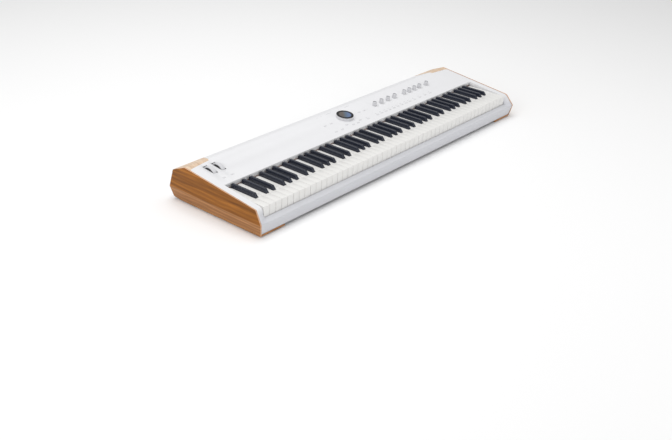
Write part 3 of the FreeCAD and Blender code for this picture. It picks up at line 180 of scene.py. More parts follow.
# ------------------------------------------------------------------------------------------
# Finishes
# ------------------------------------------------------------------------------------------
class Shader:
    """A material under construction: its tree, its surface shader and a few node shortcuts."""

    def __init__(self, name: str) -> None:
        """Start a material with one surface shader.

        Args:
            name: the material's name.
        """
        self.material = bpy.data.materials.new(name)
        self.material.use_nodes = True
        self.tree = self.material.node_tree
        self.surface = next(node for node in self.tree.nodes if node.type == "BSDF_PRINCIPLED")
        coordinates = self.tree.nodes.new("ShaderNodeTexCoord")
        self.position = coordinates.outputs["Object"]

    def set(self, **values: object) -> "Shader":
        """Set values on the surface shader's own sockets; underscores stand for spaces.

        Args:
            **values: socket names and values.

        Returns:
            The shader itself.
        """
        for name, value in values.items():
            self.surface.inputs[name.replace("_", " ")].default_value = value
        return self

    def link(self, source: bpy.types.NodeSocket, target: bpy.types.NodeSocket) -> None:
        """Link two sockets."""
        self.tree.links.new(source, target)

    def stretched(self, scale: tuple[float, float, float]) -> bpy.types.NodeSocket:
        """Object coordinates multiplied by a scale for each axis."""
        mapping = self.tree.nodes.new("ShaderNodeMapping")
        mapping.inputs["Scale"].default_value = scale
        self.link(self.position, mapping.inputs["Vector"])
        return mapping.outputs["Vector"]

    def noise(self, scale: float, detail: float = 2.0, distortion: float = 0.0,
              vector: bpy.types.NodeSocket | None = None) -> bpy.types.NodeSocket:
        """Fractal noise.

        Args:
            scale: cells per metre.
            detail: octaves.
            distortion: how far the cells are pulled about.
            vector: coordinates, or None for Object coordinates.

        Returns:
            The noise's value socket.
        """
        node = self.tree.nodes.new("ShaderNodeTexNoise")
        node.inputs["Scale"].default_value = scale
        node.inputs["Detail"].default_value = detail
        node.inputs["Distortion"].default_value = distortion
        self.link(vector or self.position, node.inputs["Vector"])
        return node.outputs["Fac"]

    def ramp(self, value: bpy.types.NodeSocket, stops: list[tuple[float, tuple]]) -> bpy.types.NodeSocket:
        """Turn a value into a colour.

        Args:
            value: the value's socket.
            stops: positions, each with its red, green and blue.

        Returns:
            The colour's socket.
        """
        node = self.tree.nodes.new("ShaderNodeValToRGB")
        elements = node.color_ramp.elements
        while len(elements) < len(stops):
            elements.new(0.5)
        for element, (position, colour) in zip(elements, stops):
            element.position = position
            element.color = (*colour, 1.0)
        self.link(value, node.inputs["Fac"])
        return node.outputs["Color"]

    def between(self, value: bpy.types.NodeSocket, low: float, high: float) -> bpy.types.NodeSocket:
        """Map a value from 0..1 to low..high."""
        node = self.tree.nodes.new("ShaderNodeMapRange")
        node.inputs["To Min"].default_value = low
        node.inputs["To Max"].default_value = high
        self.link(value, node.inputs["Value"])
        return node.outputs["Result"]

    def height(self, low: float, high: float) -> bpy.types.NodeSocket:
        """A value that falls from 1 at one Z to 0 at a higher one."""
        parts = self.tree.nodes.new("ShaderNodeSeparateXYZ")
        self.link(self.position, parts.inputs["Vector"])
        node = self.tree.nodes.new("ShaderNodeMapRange")
        node.inputs["From Min"].default_value = low
        node.inputs["From Max"].default_value = high
        node.inputs["To Min"].default_value = 1.0
        node.inputs["To Max"].default_value = 0.0
        self.link(parts.outputs["Z"], node.inputs["Value"])
        return node.outputs["Result"]

    def waves(self, scale: float, distortion: float, vector: bpy.types.NodeSocket) -> bpy.types.NodeSocket:
        """Bands stacked up Z, pulled about by noise.

        Args:
            scale: how close the bands are.
            distortion: how far they are pulled.
            vector: coordinates.

        Returns:
            The bands' value socket.
        """
        node = self.tree.nodes.new("ShaderNodeTexWave")
        node.bands_direction = "Z"
        node.inputs["Scale"].default_value = scale
        node.inputs["Distortion"].default_value = distortion
        node.inputs["Detail"].default_value = 2.0
        self.link(vector, node.inputs["Vector"])
        return node.outputs["Fac"]

    def mix(self, factor: bpy.types.NodeSocket | float, first: bpy.types.NodeSocket,
            second: bpy.types.NodeSocket, mode: str = "MIX") -> bpy.types.NodeSocket:
        """Mix two colours.

        Args:
            factor: the factor, or its socket.
            first: the first colour.
            second: the second colour.
            mode: Blender's blend type.

        Returns:
            The mixed colour's socket.
        """
        node = self.tree.nodes.new("ShaderNodeMix")
        node.data_type = "RGBA"
        node.blend_type = mode
        if isinstance(factor, float):
            node.inputs[0].default_value = factor
        else:
            self.link(factor, node.inputs[0])
        self.link(first, node.inputs[6])
        self.link(second, node.inputs[7])
        return node.outputs[2]

    def bump(self, height: bpy.types.NodeSocket, depth: float, strength: float = 1.0) -> "Shader":
        """Bump the surface.

        Args:
            height: the height's socket, 0..1.
            depth: the height of 1, in metres.
            strength: how much of it shows.

        Returns:
            The shader itself.
        """
        node = self.tree.nodes.new("ShaderNodeBump")
        node.inputs["Distance"].default_value = depth
        node.inputs["Strength"].default_value = strength
        self.link(height, node.inputs["Height"])
        self.link(node.outputs["Normal"], self.surface.inputs["Normal"])
        return self

    def colour(self, socket: bpy.types.NodeSocket) -> "Shader":
        """Drive the base colour."""
        self.link(socket, self.surface.inputs["Base Color"])
        return self

    def roughness(self, socket: bpy.types.NodeSocket) -> "Shader":
        """Drive the roughness."""
        self.link(socket, self.surface.inputs["Roughness"])
        return self


def shade(colour: tuple, factor: float) -> tuple:
    """A colour made lighter or darker by a factor."""
    return tuple(min(1.0, channel * factor) for channel in colour)


@dataclass(frozen=True)
class Moulded:
    """Moulded or sprayed plastic: a fine skin, a slight mottle and uneven gloss, and, where given, a lower
    colour that is painted shade on the faces low down.
    """

    name: str
    colour: tuple
    rough: float
    grain: float = 900.0
    grain_depth: float = 0.02 * MM
    mottle: float = 0.03
    coat: float = 0.0
    coat_rough: float = 0.08
    gloss: float = 0.5
    # painted shade: a darker, bluer colour for the faces low on the part, where shade falls
    shaded_low_colour: tuple | None = None
    shade_band: tuple[float, float] = (50.0 * MM, 77.0 * MM)

    def build(self) -> bpy.types.Material:
        """Make the material, with its lower colour, painted shade on the faces low down, below the band where
        it has one.
        """
        shader = Shader(self.name)
        shader.set(Coat_Weight=self.coat, Coat_Roughness=self.coat_rough, Specular_IOR_Level=self.gloss)
        cloud = shader.noise(14.0, 3.0)
        low, high = shade(self.colour, 1 - self.mottle), shade(self.colour, 1 + self.mottle)
        tone = shader.ramp(cloud, [(0.3, low), (0.7, high)])
        # painted shade: below the band the tone turns to the darker, bluer shaded colour
        if self.shaded_low_colour:
            shaded_dark = shade(self.shaded_low_colour, 1 - self.mottle)
            shaded_tone = shader.ramp(cloud, [(0.3, shaded_dark), (0.7, self.shaded_low_colour)])
            tone = shader.mix(shader.height(*self.shade_band), tone, shaded_tone)
        shader.colour(tone)
        skin = shader.noise(self.grain, 2.0)
        shader.roughness(shader.between(skin, self.rough * 0.9, self.rough * 1.12))
        shader.bump(skin, self.grain_depth, 0.35)
        return shader.material


@dataclass(frozen=True)
class Timber:
    """Wood under a thin lacquer, with its grain along Y: wavy bands, long streaks and fine pores.

    Below the side panels' ridge the wood is paler, as the light rakes it there.
    """

    name: str
    dark: tuple
    light: tuple
    foot_dark: tuple | None = None
    foot_light: tuple | None = None
    rough: float = 0.46
    along: float = 3.0
    across: float = 60.0
    band_scale: float = 26.0
    band_pull: float = 7.0
    band_stretch: float = 0.22
    figure_share: float = 0.75
    pore_share: float = 0.6
    coat: float = 0.06
    coat_rough: float = 0.25
    gloss: float = 0.22
    ridge: tuple[float, float] = (39.0 * MM, 42.5 * MM)

    def tones(self, shader: Shader, streaks: bpy.types.NodeSocket, dark: tuple,
              light: tuple) -> bpy.types.NodeSocket:
        """The streaks' colours, from dark through the middle to light.

        Args:
            shader: the material under construction.
            streaks: the streaks' value socket.
            dark: the darkest colour.
            light: the lightest colour.

        Returns:
            The colour's socket.
        """
        middle = tuple((low + high) / 2 for low, high in zip(dark, light))
        return shader.ramp(streaks, [(0.30, dark), (0.50, middle), (0.68, light)])

    def build(self) -> bpy.types.Material:
        """Make the material."""
        shader = Shader(self.name)
        shader.set(Coat_Weight=self.coat, Coat_Roughness=self.coat_rough, Specular_IOR_Level=self.gloss)
        streaks = shader.noise(1.0, 6.0, 0.9, shader.stretched((self.across, self.along, self.across)))
        grain = self.tones(shader, streaks, self.dark, self.light)
        if self.foot_dark and self.foot_light:
            foot = self.tones(shader, streaks, self.foot_dark, self.foot_light)
            grain = shader.mix(shader.height(*self.ridge), grain, foot)
        bands = shader.waves(self.band_scale, self.band_pull, shader.stretched((1.0, self.band_stretch, 1.0)))
        figure = shader.ramp(bands, [(0.15, (0.74, 0.70, 0.66)), (0.85, (1.0, 1.0, 1.0))])
        pore_space = shader.stretched((self.across * 11, self.along * 5, self.across * 11))
        pores = shader.noise(1.0, 3.0, 0.2, pore_space)
        pore_tone = shader.ramp(pores, [(0.34, (0.55, 0.50, 0.46)), (0.46, (1.0, 1.0, 1.0))])
        figured = shader.mix(self.figure_share, grain, figure, "MULTIPLY")
        shader.colour(shader.mix(self.pore_share, figured, pore_tone, "MULTIPLY"))
        shader.roughness(shader.between(streaks, self.rough * 0.85, self.rough * 1.2))
        shader.bump(pores, 0.05 * MM, 0.3)
        return shader.material


@dataclass(frozen=True)
class Metal:
    """Metal with fine drawn lines along X."""

    name: str
    colour: tuple
    rough: float
    lines: float = 1500.0

    def build(self) -> bpy.types.Material:
        """Make the material."""
        shader = Shader(self.name)
        shader.set(Metallic=1.0)
        drawn = shader.noise(1.0, 3.0, 0.0, shader.stretched((8.0, self.lines, self.lines)))
        shader.colour(shader.ramp(drawn, [(0.3, shade(self.colour, 0.85)), (0.7, shade(self.colour, 1.1))]))
        shader.roughness(shader.between(drawn, self.rough * 0.8, self.rough * 1.25))
        shader.bump(drawn, 0.01 * MM, 0.3)
        return shader.material


@dataclass(frozen=True)
class Cloth:
    """Pressed felt or rubber: no gloss, and a fibrous or pebbled surface."""

    name: str
    colour: tuple
    fibres: float = 1400.0
    depth: float = 0.15 * MM
    sheen: float = 0.3
    rough: float = 0.92

    def build(self) -> bpy.types.Material:
        """Make the material."""
        shader = Shader(self.name)
        shader.set(Sheen_Weight=self.sheen, Sheen_Roughness=0.5)
        fibres = shader.noise(self.fibres, 4.0, 1.5)
        shader.colour(shader.ramp(fibres, [(0.3, shade(self.colour, 0.7)), (0.7, shade(self.colour, 1.25))]))
        shader.roughness(shader.between(fibres, self.rough * 0.92, min(1.0, self.rough * 1.05)))
        shader.bump(fibres, self.depth, 0.6)
        return shader.material


@dataclass(frozen=True)
class Circuit:
    """A circuit board: solder mask with darker tracks in a square net."""

    name: str
    colour: tuple
    pitch: float = 260.0

    def build(self) -> bpy.types.Material:
        """Make the material."""
        shader = Shader(self.name)
        shader.set(Coat_Weight=0.3, Coat_Roughness=0.2)
        cells = shader.tree.nodes.new("ShaderNodeTexVoronoi")
        cells.distance = "MANHATTAN"
        cells.feature = "F1"
        cells.inputs["Scale"].default_value = self.pitch
        shader.link(shader.position, cells.inputs["Vector"])
        net = shader.ramp(cells.outputs["Distance"], [(0.35, shade(self.colour, 1.3)), (0.5, self.colour)])
        shader.colour(net)
        shader.roughness(shader.between(shader.noise(400.0), 0.35, 0.5))
        return shader.material


@dataclass(frozen=True)
class Screen:
    """A round display behind polished glass: a soft two-tone picture."""

    name: str
    upper: tuple
    middle: tuple
    lower: tuple

    def build(self, centre: np.ndarray, radius: float) -> bpy.types.Material:
        """Make the material.

        Args:
            centre: the display's middle.
            radius: its radius.

        Returns:
            The material.
        """
        shader = Shader(self.name)
        shader.set(Coat_Weight=0.3, Coat_Roughness=0.02, Roughness=0.22, Specular_IOR_Level=0.2)
        mapping = shader.tree.nodes.new("ShaderNodeMapping")
        mapping.vector_type = "POINT"
        mapping.inputs["Location"].default_value = tuple(-centre / radius)
        mapping.inputs["Scale"].default_value = (1 / radius,) * 3
        shader.link(shader.position, mapping.inputs["Vector"])
        parts = shader.tree.nodes.new("ShaderNodeSeparateXYZ")
        shader.link(mapping.outputs["Vector"], parts.inputs["Vector"])
        lean = shader.tree.nodes.new("ShaderNodeMath")
        lean.operation = "SUBTRACT"
        shader.link(parts.outputs["Y"], lean.inputs[0])
        shader.link(parts.outputs["X"], lean.inputs[1])
        position = shader.tree.nodes.new("ShaderNodeMapRange")
        position.inputs["From Min"].default_value = -1.3
        position.inputs["From Max"].default_value = 1.3
        shader.link(lean.outputs[0], position.inputs["Value"])
        stops = [(0.22, self.lower), (0.45, self.middle), (0.68, self.upper)]
        picture = shader.ramp(position.outputs["Result"], stops)
        shader.colour(picture)
        shader.bump(shader.noise(3000.0), 0.003 * MM, 0.05)
        return shader.material


WOOD = Timber("lacquered_side_wood", (0.22, 0.074, 0.006), (0.47, 0.175, 0.024),
              (0.36, 0.16, 0.055), (0.56, 0.27, 0.10))
# the pale edge colour is partly the edge's own tone and partly painted highlight, where the top edge catches
# light from above
EDGE_WOOD_AND_HIGHLIGHT = Timber("lacquered_edge_wood_and_highlight", (0.58, 0.34, 0.21), (0.76, 0.49, 0.33), figure_share=0.2)
PALE_WOOD = Timber("lacquered_cap_wood", (0.68, 0.49, 0.34), (0.80, 0.63, 0.47), figure_share=0.12)
# the cover's lower colour is painted shade on its low, shaded faces
WHITE = Moulded("satin_white_cover", (0.785, 0.785, 0.80), 0.58, mottle=0.008, gloss=0.3,
                shaded_low_colour=(0.62, 0.625, 0.66))
# painted shade: the rail wears the cover's white made darker and bluer, for the shade on its ledge and
# undercut
SHADED_RAIL_WHITE = Moulded("shaded_satin_white_rail", (0.63, 0.635, 0.665), 0.5, mottle=0.008, gloss=0.35)
IVORY = Moulded("polished_white_key", (0.83, 0.82, 0.80), 0.34, grain=350.0, grain_depth=0.008 * MM,
                mottle=0.01, coat=0.12, gloss=0.4)
EBONY = Moulded("satin_black_key", (0.017, 0.021, 0.036), 0.27, grain=2200.0, grain_depth=0.03 * MM,
                mottle=0.06)
CONTROL_WHITE = Moulded("control_white", (0.66, 0.66, 0.68), 0.36, mottle=0.01)
BUTTON_GREY = Moulded("button_grey", (0.70, 0.70, 0.715), 0.45, mottle=0.01)
# printed marks and pointers, and also the ring of painted shade inside each knob's dish
PRINT_AND_SHADE_GREY = Moulded("printed_and_shade_grey", (0.36, 0.36, 0.38), 0.6, mottle=0.02)
# painted shade: grey for the shade in the gap round each button
GAP_SHADE_GREY = Moulded("painted_gap_shade", (0.34, 0.34, 0.35), 0.8, mottle=0.02)
# painted shade: near-black for the wheels' sides inside the rim, standing for the shade in the slot beside
# each wheel
WHEEL_SIDE_SHADE = Moulded("wheel_side_painted_shade", (0.035, 0.035, 0.038), 0.6, mottle=0.04)
BEZEL = Moulded("bezel_black", (0.006, 0.006, 0.007), 0.30, grain=1200.0, mottle=0.04, gloss=0.22)
SOCKET = Moulded("socket_black", (0.03, 0.03, 0.032), 0.5, mottle=0.05)
BAY = Moulded("bay_grey", (0.22, 0.22, 0.23), 0.5, mottle=0.04)
TRAY = Metal("tray_sheet", (0.36, 0.36, 0.37), 0.5)
STEEL = Metal("frame_steel", (0.5, 0.5, 0.52), 0.4)
ROD = Metal("ground_rod", (0.7, 0.7, 0.72), 0.22)
WEIGHT = Metal("hammer_weight", (0.32, 0.32, 0.34), 0.5)
FELT = Cloth("pressed_felt", (0.30, 0.13, 0.09))
RUBBER = Cloth("foot_rubber", (0.035, 0.035, 0.037), fibres=500.0, sheen=0.0, rough=0.8)
GREEN_BOARD = Circuit("green_board", (0.03, 0.16, 0.07))
DARK_BOARD = Circuit("dark_board", (0.02, 0.07, 0.055))
DISPLAY = Screen("display_picture", (0.105, 0.09, 0.082), (0.085, 0.13, 0.18), (0.10, 0.155, 0.29))


class Paint:
    """Every finish made once, and shared by the pieces that wear it."""

    def __init__(self) -> None:
        """Start with no material made."""
        self.made: dict[str, bpy.types.Material] = {}

    def of(self, finish: Moulded | Timber | Metal | Cloth | Circuit) -> bpy.types.Material:
        """The material of a finish.

        Args:
            finish: the finish.

        Returns:
            Its material, made on first use.
        """
        if finish.name not in self.made:
            self.made[finish.name] = finish.build()
        return self.made[finish.name]


PAINT = Paint()


# ------------------------------------------------------------------------------------------
# Surfaces
# ------------------------------------------------------------------------------------------
@dataclass
class Surface:
    """Points and faces of one closed or open surface."""

    points: np.ndarray
    faces: list


def quads(rows: int, columns: int, ring: bool = False, keep: np.ndarray | None = None) -> list:
    """Faces of a grid of points.

    Args:
        rows: rows of points.
        columns: points in each row.
        ring: True if each row closes on itself.
        keep: which cells have a face, or None for all.

    Returns:
        The quads, as lists of four point numbers.
    """
    row, column = np.meshgrid(np.arange(rows - 1), np.arange(columns if ring else columns - 1), indexing="ij")
    after = (column + 1) % columns
    cells = np.stack([row * columns + column, row * columns + after,
                      (row + 1) * columns + after, (row + 1) * columns + column], axis=-1)
    if keep is not None:
        return cells[keep].tolist()
    return cells.reshape(-1, 4).tolist()


def rounded(corners: list[tuple[float, float]], radii: list[float], steps: int = 6,
            closed: bool = False) -> np.ndarray:
    """A polyline whose corners are arcs: each arc touches both of its corner's lines.

    Args:
        corners: the corners, as pairs.
        radii: one radius per corner; 0 keeps it sharp.
        steps: parts of each arc.
        closed: True if the last corner joins the first.

    Returns:
        The points, one pair a row.
    """
    places = [np.array(corner, float) for corner in corners]
    count = len(places)
    made: list[np.ndarray] = []
    for index, (place, radius) in enumerate(zip(places, radii)):
        ended = not closed and index in (0, count - 1)
        if ended or radius <= 0:
            made.append(place[None, :])
            continue
        before = places[index - 1] - place
        after = places[(index + 1) % count] - place
        before_unit = before / np.linalg.norm(before)
        after_unit = after / np.linalg.norm(after)
        half = math.acos(float(np.clip(before_unit @ after_unit, -1, 1))) / 2
        reach = radius / math.tan(half)
        centre_line = before_unit + after_unit
        centre = place + centre_line / np.linalg.norm(centre_line) * radius / math.sin(half)
        start = place + before_unit * reach - centre
        end = place + after_unit * reach - centre
        turn = math.atan2(start[0] * end[1] - start[1] * end[0], float(start @ end))
        angles = np.linspace(0, turn, steps + 1)
        arc = np.stack([start[0] * np.cos(angles) - start[1] * np.sin(angles),
                        start[0] * np.sin(angles) + start[1] * np.cos(angles)], axis=1)
        made.append(centre + arc)
    return np.concatenate(made)


def resampled(line: np.ndarray, fractions: np.ndarray) -> np.ndarray:
    """Points of a polyline at fractions of its length."""
    lengths = np.concatenate([[0.0], np.cumsum(np.linalg.norm(np.diff(line, axis=0), axis=1))])
    share = lengths / lengths[-1]
    return np.stack([np.interp(fractions, share, line[:, axis]) for axis in range(line.shape[1])], axis=1)


def fractions_of(line: np.ndarray) -> np.ndarray:
    """The fraction of a polyline's length at each of its points."""
    lengths = np.concatenate([[0.0], np.cumsum(np.linalg.norm(np.diff(line, axis=0), axis=1))])
    return lengths / lengths[-1]


def turned(profile: np.ndarray, origin: np.ndarray, across: np.ndarray, along: np.ndarray,
           normal: np.ndarray, segments: int = 64, ripple: np.ndarray | None = None) -> Surface:
    """A profile of (radius, height) turned about the normal through origin.

    Each point is the origin, plus radius times (cosine across + sine along), plus height
    times the normal. The profile closes on itself, or starts and ends on the axis.

    Args:
        profile: pairs of radius and height.
        origin: the centre.
        across: first radial unit vector.
        along: second radial unit vector.
        normal: the axis.
        segments: steps round.
        ripple: factors on the radius for each step round and each profile point, or None.

    Returns:
        The surface.
    """
    angles = np.linspace(0, 2 * math.pi, segments, endpoint=False)
    radial = np.cos(angles)[:, None] * across + np.sin(angles)[:, None] * along
    radii = profile[:, 0][:, None] * (np.ones((len(profile), segments)) if ripple is None else ripple)
    points = origin + radii[..., None] * radial[None, :, :] + profile[:, 1][:, None, None] * normal
    return Surface(points.reshape(-1, 3), quads(len(profile), segments, ring=True))


def extruded(outline: np.ndarray, reach: np.ndarray) -> Surface:
    """A closed outline of (y, z) pairs carried along X from one end to its mirror image.

    Args:
        outline: the pairs, in order round.
        reach: the far end's X at each pair.

    Returns:
        The surface.
    """
    count = len(outline)
    rows = [np.column_stack([side * reach, outline]) for side in (-1, 1)]
    faces = quads(2, count, ring=True)
    faces += [list(range(count)), list(range(2 * count - 1, count - 1, -1))]
    return Surface(np.concatenate(rows), faces)


def slab_on(origin: np.ndarray, across: np.ndarray, along: np.ndarray, normal: np.ndarray,
            half: tuple[float, float], corner: float, low: float, high: float, edge: float) -> Surface:
    """A rounded rectangle standing on the deck, with a rounded upper edge.

    Rows go up the wall, over the edge's arc and in to the middle. Each row is the rounded
    rectangle, drawn in by edge times (1 - sine) as it rises by edge times (1 - cosine).

    Args:
        origin: the middle of its foot.
        across: unit vector along its length.
        along: unit vector along its width.
        normal: unit vector along its height.
        half: half its length and half its width.
        corner: its corners' radius.
        low: height of its lower face.
        high: height of its upper face.
        edge: the upper edge's radius.

    Returns:
        The surface.
    """
    signs = [(1, 1), (-1, 1), (-1, -1), (1, -1)]
    quarter = np.linspace(0, math.pi / 2, 6)
    rows = []
    turn = np.linspace(0, math.pi / 2, 4)
    levels = [(low, 0.0, 0.0), (low, 0.0, 1.0)]
    levels += [(high - edge + edge * math.sin(step), edge * (1 - math.cos(step)), 1.0) for step in turn]
    levels += [(high, edge, 0.0)]
    for height, inset, size in levels:
        ring = []
        for index, (sign_x, sign_y) in enumerate(signs):
            angles = quarter + index * math.pi / 2
            radius = max(corner - inset, 0.02 * MM)
            x = sign_x * (half[0] - corner) + radius * np.cos(angles)
            y = sign_y * (half[1] - corner) + radius * np.sin(angles)
            ring.append(np.stack([x * size, y * size], axis=1))
        flat = np.concatenate(ring)
        rows.append(origin + flat[:, :1] * across + flat[:, 1:] * along + height * normal)
    count = len(rows[0])
    return Surface(np.concatenate(rows), quads(len(rows), count, ring=True))


@dataclass
class Piece:
    """A named mesh made from surfaces, ready to be dressed and to ride on a body."""

    name: str
    body: str
    slot: str
    finish: bpy.types.Material
    replaces: tuple[str, ...] = ()
    sharp: float = 32.0
    merge: float = 0.004 * MM
    bevel: float = 0.0
    bevel_from: float = 35.0
    wall: float = 0.0
    turn_out: bool = True

    def build(self, surfaces: list[Surface]) -> bpy.types.Object:
        """Join surfaces into one object, close its seams and dress it.

        Args:
            surfaces: the surfaces.

        Returns:
            The object.
        """
        points, faces, offset = [], [], 0
        for surface in surfaces:
            points.append(surface.points)
            faces += [[number + offset for number in face] for face in surface.faces]
            offset += len(surface.points)
        mesh = bpy.data.meshes.new(self.name)
        mesh.from_pydata(np.concatenate(points).tolist(), [], faces)
        form = bmesh.new()
        form.from_mesh(mesh)
        bmesh.ops.remove_doubles(form, verts=form.verts, dist=self.merge)
        bmesh.ops.dissolve_degenerate(form, edges=form.edges, dist=self.merge / 4)
        if self.turn_out:
            bmesh.ops.recalc_face_normals(form, faces=form.faces)
        form.to_mesh(mesh)
        form.free()
        mesh.polygons.foreach_set("use_smooth", np.ones(len(mesh.polygons), bool))
        mesh.set_sharp_from_angle(angle=math.radians(self.sharp))
        mesh.materials.append(self.finish)
        item = bpy.data.objects.new(self.name, mesh)
        bpy.context.scene.collection.objects.link(item)
        if self.bevel:
            edge = item.modifiers.new("edge", "BEVEL")
            edge.width = self.bevel
            edge.segments = 3
            edge.limit_method = "ANGLE"
            edge.angle_limit = math.radians(self.bevel_from)
            edge.harden_normals = True
        if self.wall:
            thick = item.modifiers.new("wall", "SOLIDIFY")
            thick.thickness = self.wall
            thick.offset = -1
        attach(item, self.body)
        if self.replaces:
            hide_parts(*self.replaces)
        LOG.info("%s: %d faces, on %s", self.name, len(mesh.polygons), self.body)
        return item


# ------------------------------------------------------------------------------------------
# Keyboard
# ------------------------------------------------------------------------------------------
@dataclass
class Keyboard:
    """Every key, grouped by note as the bodies are."""

    pitch: float = 23.5 * MM
    gap: float = 1.0 * MM
    head: float = 50.9 * MM
    black_setback: float = 51.9 * MM
    black_rear: float = 148.5 * MM
    black_half: float = 5.65 * MM
    black_top_half: float = 4.3 * MM
    black_rise: float = 12.0 * MM
    black_nose: float = 8.0 * MM
    black_gap: float = 1.0 * MM
    length: float = 150.0 * MM
    tail_end: float = 205.0 * MM
    tail_half: float = 5.5 * MM
    depth: float = 20.0 * MM
    tail_depth: float = 16.0 * MM
    skirt: float = 36.0 * MM
    wall: float = 1.6 * MM
    front_round: float = 1.3 * MM
    side_round: float = 0.7 * MM
    octaves: int = 7

    def centre(self, step: int) -> float:
        """X of a note's tail in its octave: C to E share theirs in five, F to B in seven."""
        if step < 5:
            return 3 * self.pitch / 5 * (step + 0.5)
        return 3 * self.pitch + 4 * self.pitch / 7 * (step - 4.5)

    def starts(self, note: str) -> list[float]:
        """X of the left edge of each octave that holds a note."""
        first = PLACES.keys_left + 2 * self.pitch
        wanted = list(range(self.octaves))
        if note in ("a", "a_sharp", "b"):
            wanted = [-1] + wanted
        if note == "c":
            wanted = wanted + [self.octaves]
        return [first + octave * 7 * self.pitch for octave in wanted]

    def bar(self, stations: np.ndarray, lean: float = 0.0) -> Surface:
        """A bar along Y whose cross-section has two rounded upper corners.

        Each station holds y, left, right, bottom, top and corner radius. A section goes up
        the left wall, round the corner's quarter circle, over the top, and down the right.
        The lean draws the walls in above the key's plane, in proportion to their height.

        Args:
            stations: one row per station.
            lean: how far each wall leans in over the black keys' full height.

        Returns:
            The closed surface.
        """
        y, left, right, bottom, top, radius = (stations[:, index][:, None] for index in range(6))
        quarter = np.linspace(0, math.pi / 2, 5)[None, :]
        top_lean = lean * np.clip(top - PLACES.key_top, 0, None) / self.black_rise
        knee = np.minimum(top - radius, PLACES.key_top)
        crown = 0.10 * MM * (lean > 0)
        arc_x = left + top_lean + radius * (1 - np.cos(quarter))
        arc_z = top - radius * (1 - np.sin(quarter))
        left_x = np.concatenate([left, left, arc_x], axis=1)
        wall_z = np.concatenate([bottom, np.maximum(knee, bottom), arc_z], axis=1)
        middle = (left + right) / 2
        right_x = left + right - left_x[:, ::-1]
        ring_x = np.concatenate([left_x, middle, right_x], axis=1)
        ring_z = np.concatenate([wall_z, top + crown, wall_z[:, ::-1]], axis=1)
        ring_y = np.broadcast_to(y, ring_x.shape)
        points = np.stack([ring_x, ring_y, ring_z], axis=-1)
        first, last = points[:1].copy(), points[-1:].copy()
        for cap in (first, last):
            cap[..., 0] = cap[..., 0].mean()
        points = np.concatenate([first, points, last])
        rows, columns = points.shape[:2]
        return Surface(points.reshape(-1, 3), quads(rows, columns, ring=True))

    def rows(self, table: list[tuple[float, float, float, float, float, float]]) -> np.ndarray:
        """Stations given from the key's front and from the keys' plane, put in their place."""
        stations = np.array(table, float)
        stations[:, 0] += PLACES.key_front
        stations[:, 3:5] += PLACES.key_top
        return stations

    def white(self, left: float, right: float, stem_left: float, stem_right: float, tail: float) -> Surface:
        """One white key: its head with a deep front, its stem, and its tail under the cover.

        Args:
            left: the head's left edge.
            right: its right edge.
            stem_left: the stem's left edge.
            stem_right: its right edge.
            tail: the tail's middle.

        Returns:
            The surface.
        """
        turn = np.linspace(0, math.pi / 2, 6)
        radius, edge = self.front_round, self.side_round
        table = []
        for step in turn:
            inset = edge * (1 - math.sin(step))
            table.append((radius * (1 - math.cos(step)), left + inset, right - inset, -self.skirt,
                          -radius * (1 - math.sin(step)), edge))
        table.append((self.wall + 0.9 * MM, left, right, -self.skirt, 0, edge))
        table.append((self.wall + 0.9 * MM, left, right, -self.depth, 0, edge))
        table.append((self.head - 0.5 * MM, left, right, -self.depth, 0, edge))
        table.append((self.head, left + 0.4 * MM, right - 0.4 * MM, -self.depth, -0.15 * MM, edge))
        table.append((self.head, stem_left, stem_right, -self.depth, 0, edge))
        table.append((self.length - self.wall, stem_left, stem_right, -self.depth, 0, edge))
        table.append((self.length - self.wall, tail - self.tail_half, tail + self.tail_half, -self.tail_depth,
                      0, 0.2 * MM))
        table.append((self.tail_end, tail - self.tail_half, tail + self.tail_half, -self.tail_depth,
                      0, 0.2 * MM))
        return self.bar(self.rows(table))

    def black(self, middle: float) -> Surface:
        """One black key: a sloping nose, a crowned top with rounded edges and leaning walls.

        Args:
            middle: X of its middle.

        Returns:
            The surface.
        """
        front, rear, rise = self.black_setback, self.black_rear, self.black_rise
        line = rounded([(front, -self.depth), (front, 0.0), (front + self.black_nose, rise),
                        (rear - 1.5 * MM, rise), (rear, 0.0), (rear, -self.tail_depth)],
                       [0, 1.2 * MM, 5.0 * MM, 1.5 * MM, 0, 0], 8)
        left, right = middle - self.black_half, middle + self.black_half
        table = []
        for y, top in line:
            radius = min(1.5 * MM, max(0.05 * MM, (top + self.depth) * 0.4))
            bottom = -self.depth if top > -self.depth + 1e-6 else top - 0.01 * MM
            table.append((y, left, right, bottom, top, radius))
        surface = self.bar(self.rows(table), self.black_half - self.black_top_half)
        return surface

    def black_tail(self, middle: float) -> Surface:
        """The hidden tail of a black key, from its cap to the pivot."""
        table = [(self.black_rear - self.wall, middle - self.tail_half, middle + self.tail_half,
                  -self.tail_depth, -0.2 * MM, 0.2 * MM),
                 (self.tail_end, middle - self.tail_half, middle + self.tail_half,
                  -self.tail_depth, -0.2 * MM, 0.2 * MM)]
        return self.bar(self.rows(table))

    def build(self) -> None:
        """Make one piece for each note."""
        reach = self.black_half + self.black_gap
        white_index = 0
        for step, note in enumerate(NOTES):
            surfaces = []
            for number, start in enumerate(self.starts(note)):
                middle = start + self.centre(step)
                if step in BLACK_STEPS:
                    surfaces += [self.black(middle), self.black_tail(middle)]
                    continue
                left = start + white_index * self.pitch + self.gap / 2
                right = left + self.pitch - self.gap
                lowest = note == "a" and number == 0
                highest = note == "c" and number == self.octaves
                stem_left, stem_right = left, right
                if step - 1 in BLACK_STEPS and not lowest:
                    stem_left = start + self.centre(step - 1) + reach
                if step + 1 in BLACK_STEPS and not highest:
                    stem_right = start + self.centre(step + 1) - reach
                surfaces.append(self.white(left, right, stem_left, stem_right, middle))
            black = step in BLACK_STEPS
            if not black:
                white_index += 1
            finish = PAINT.of(EBONY if black else IVORY)
            piece = Piece(f"{note}_keys", f"keys_{note}", "key_black" if black else "key_white", finish,
                          (f"keys_{note}",), sharp=28.0)
            piece.build(surfaces)


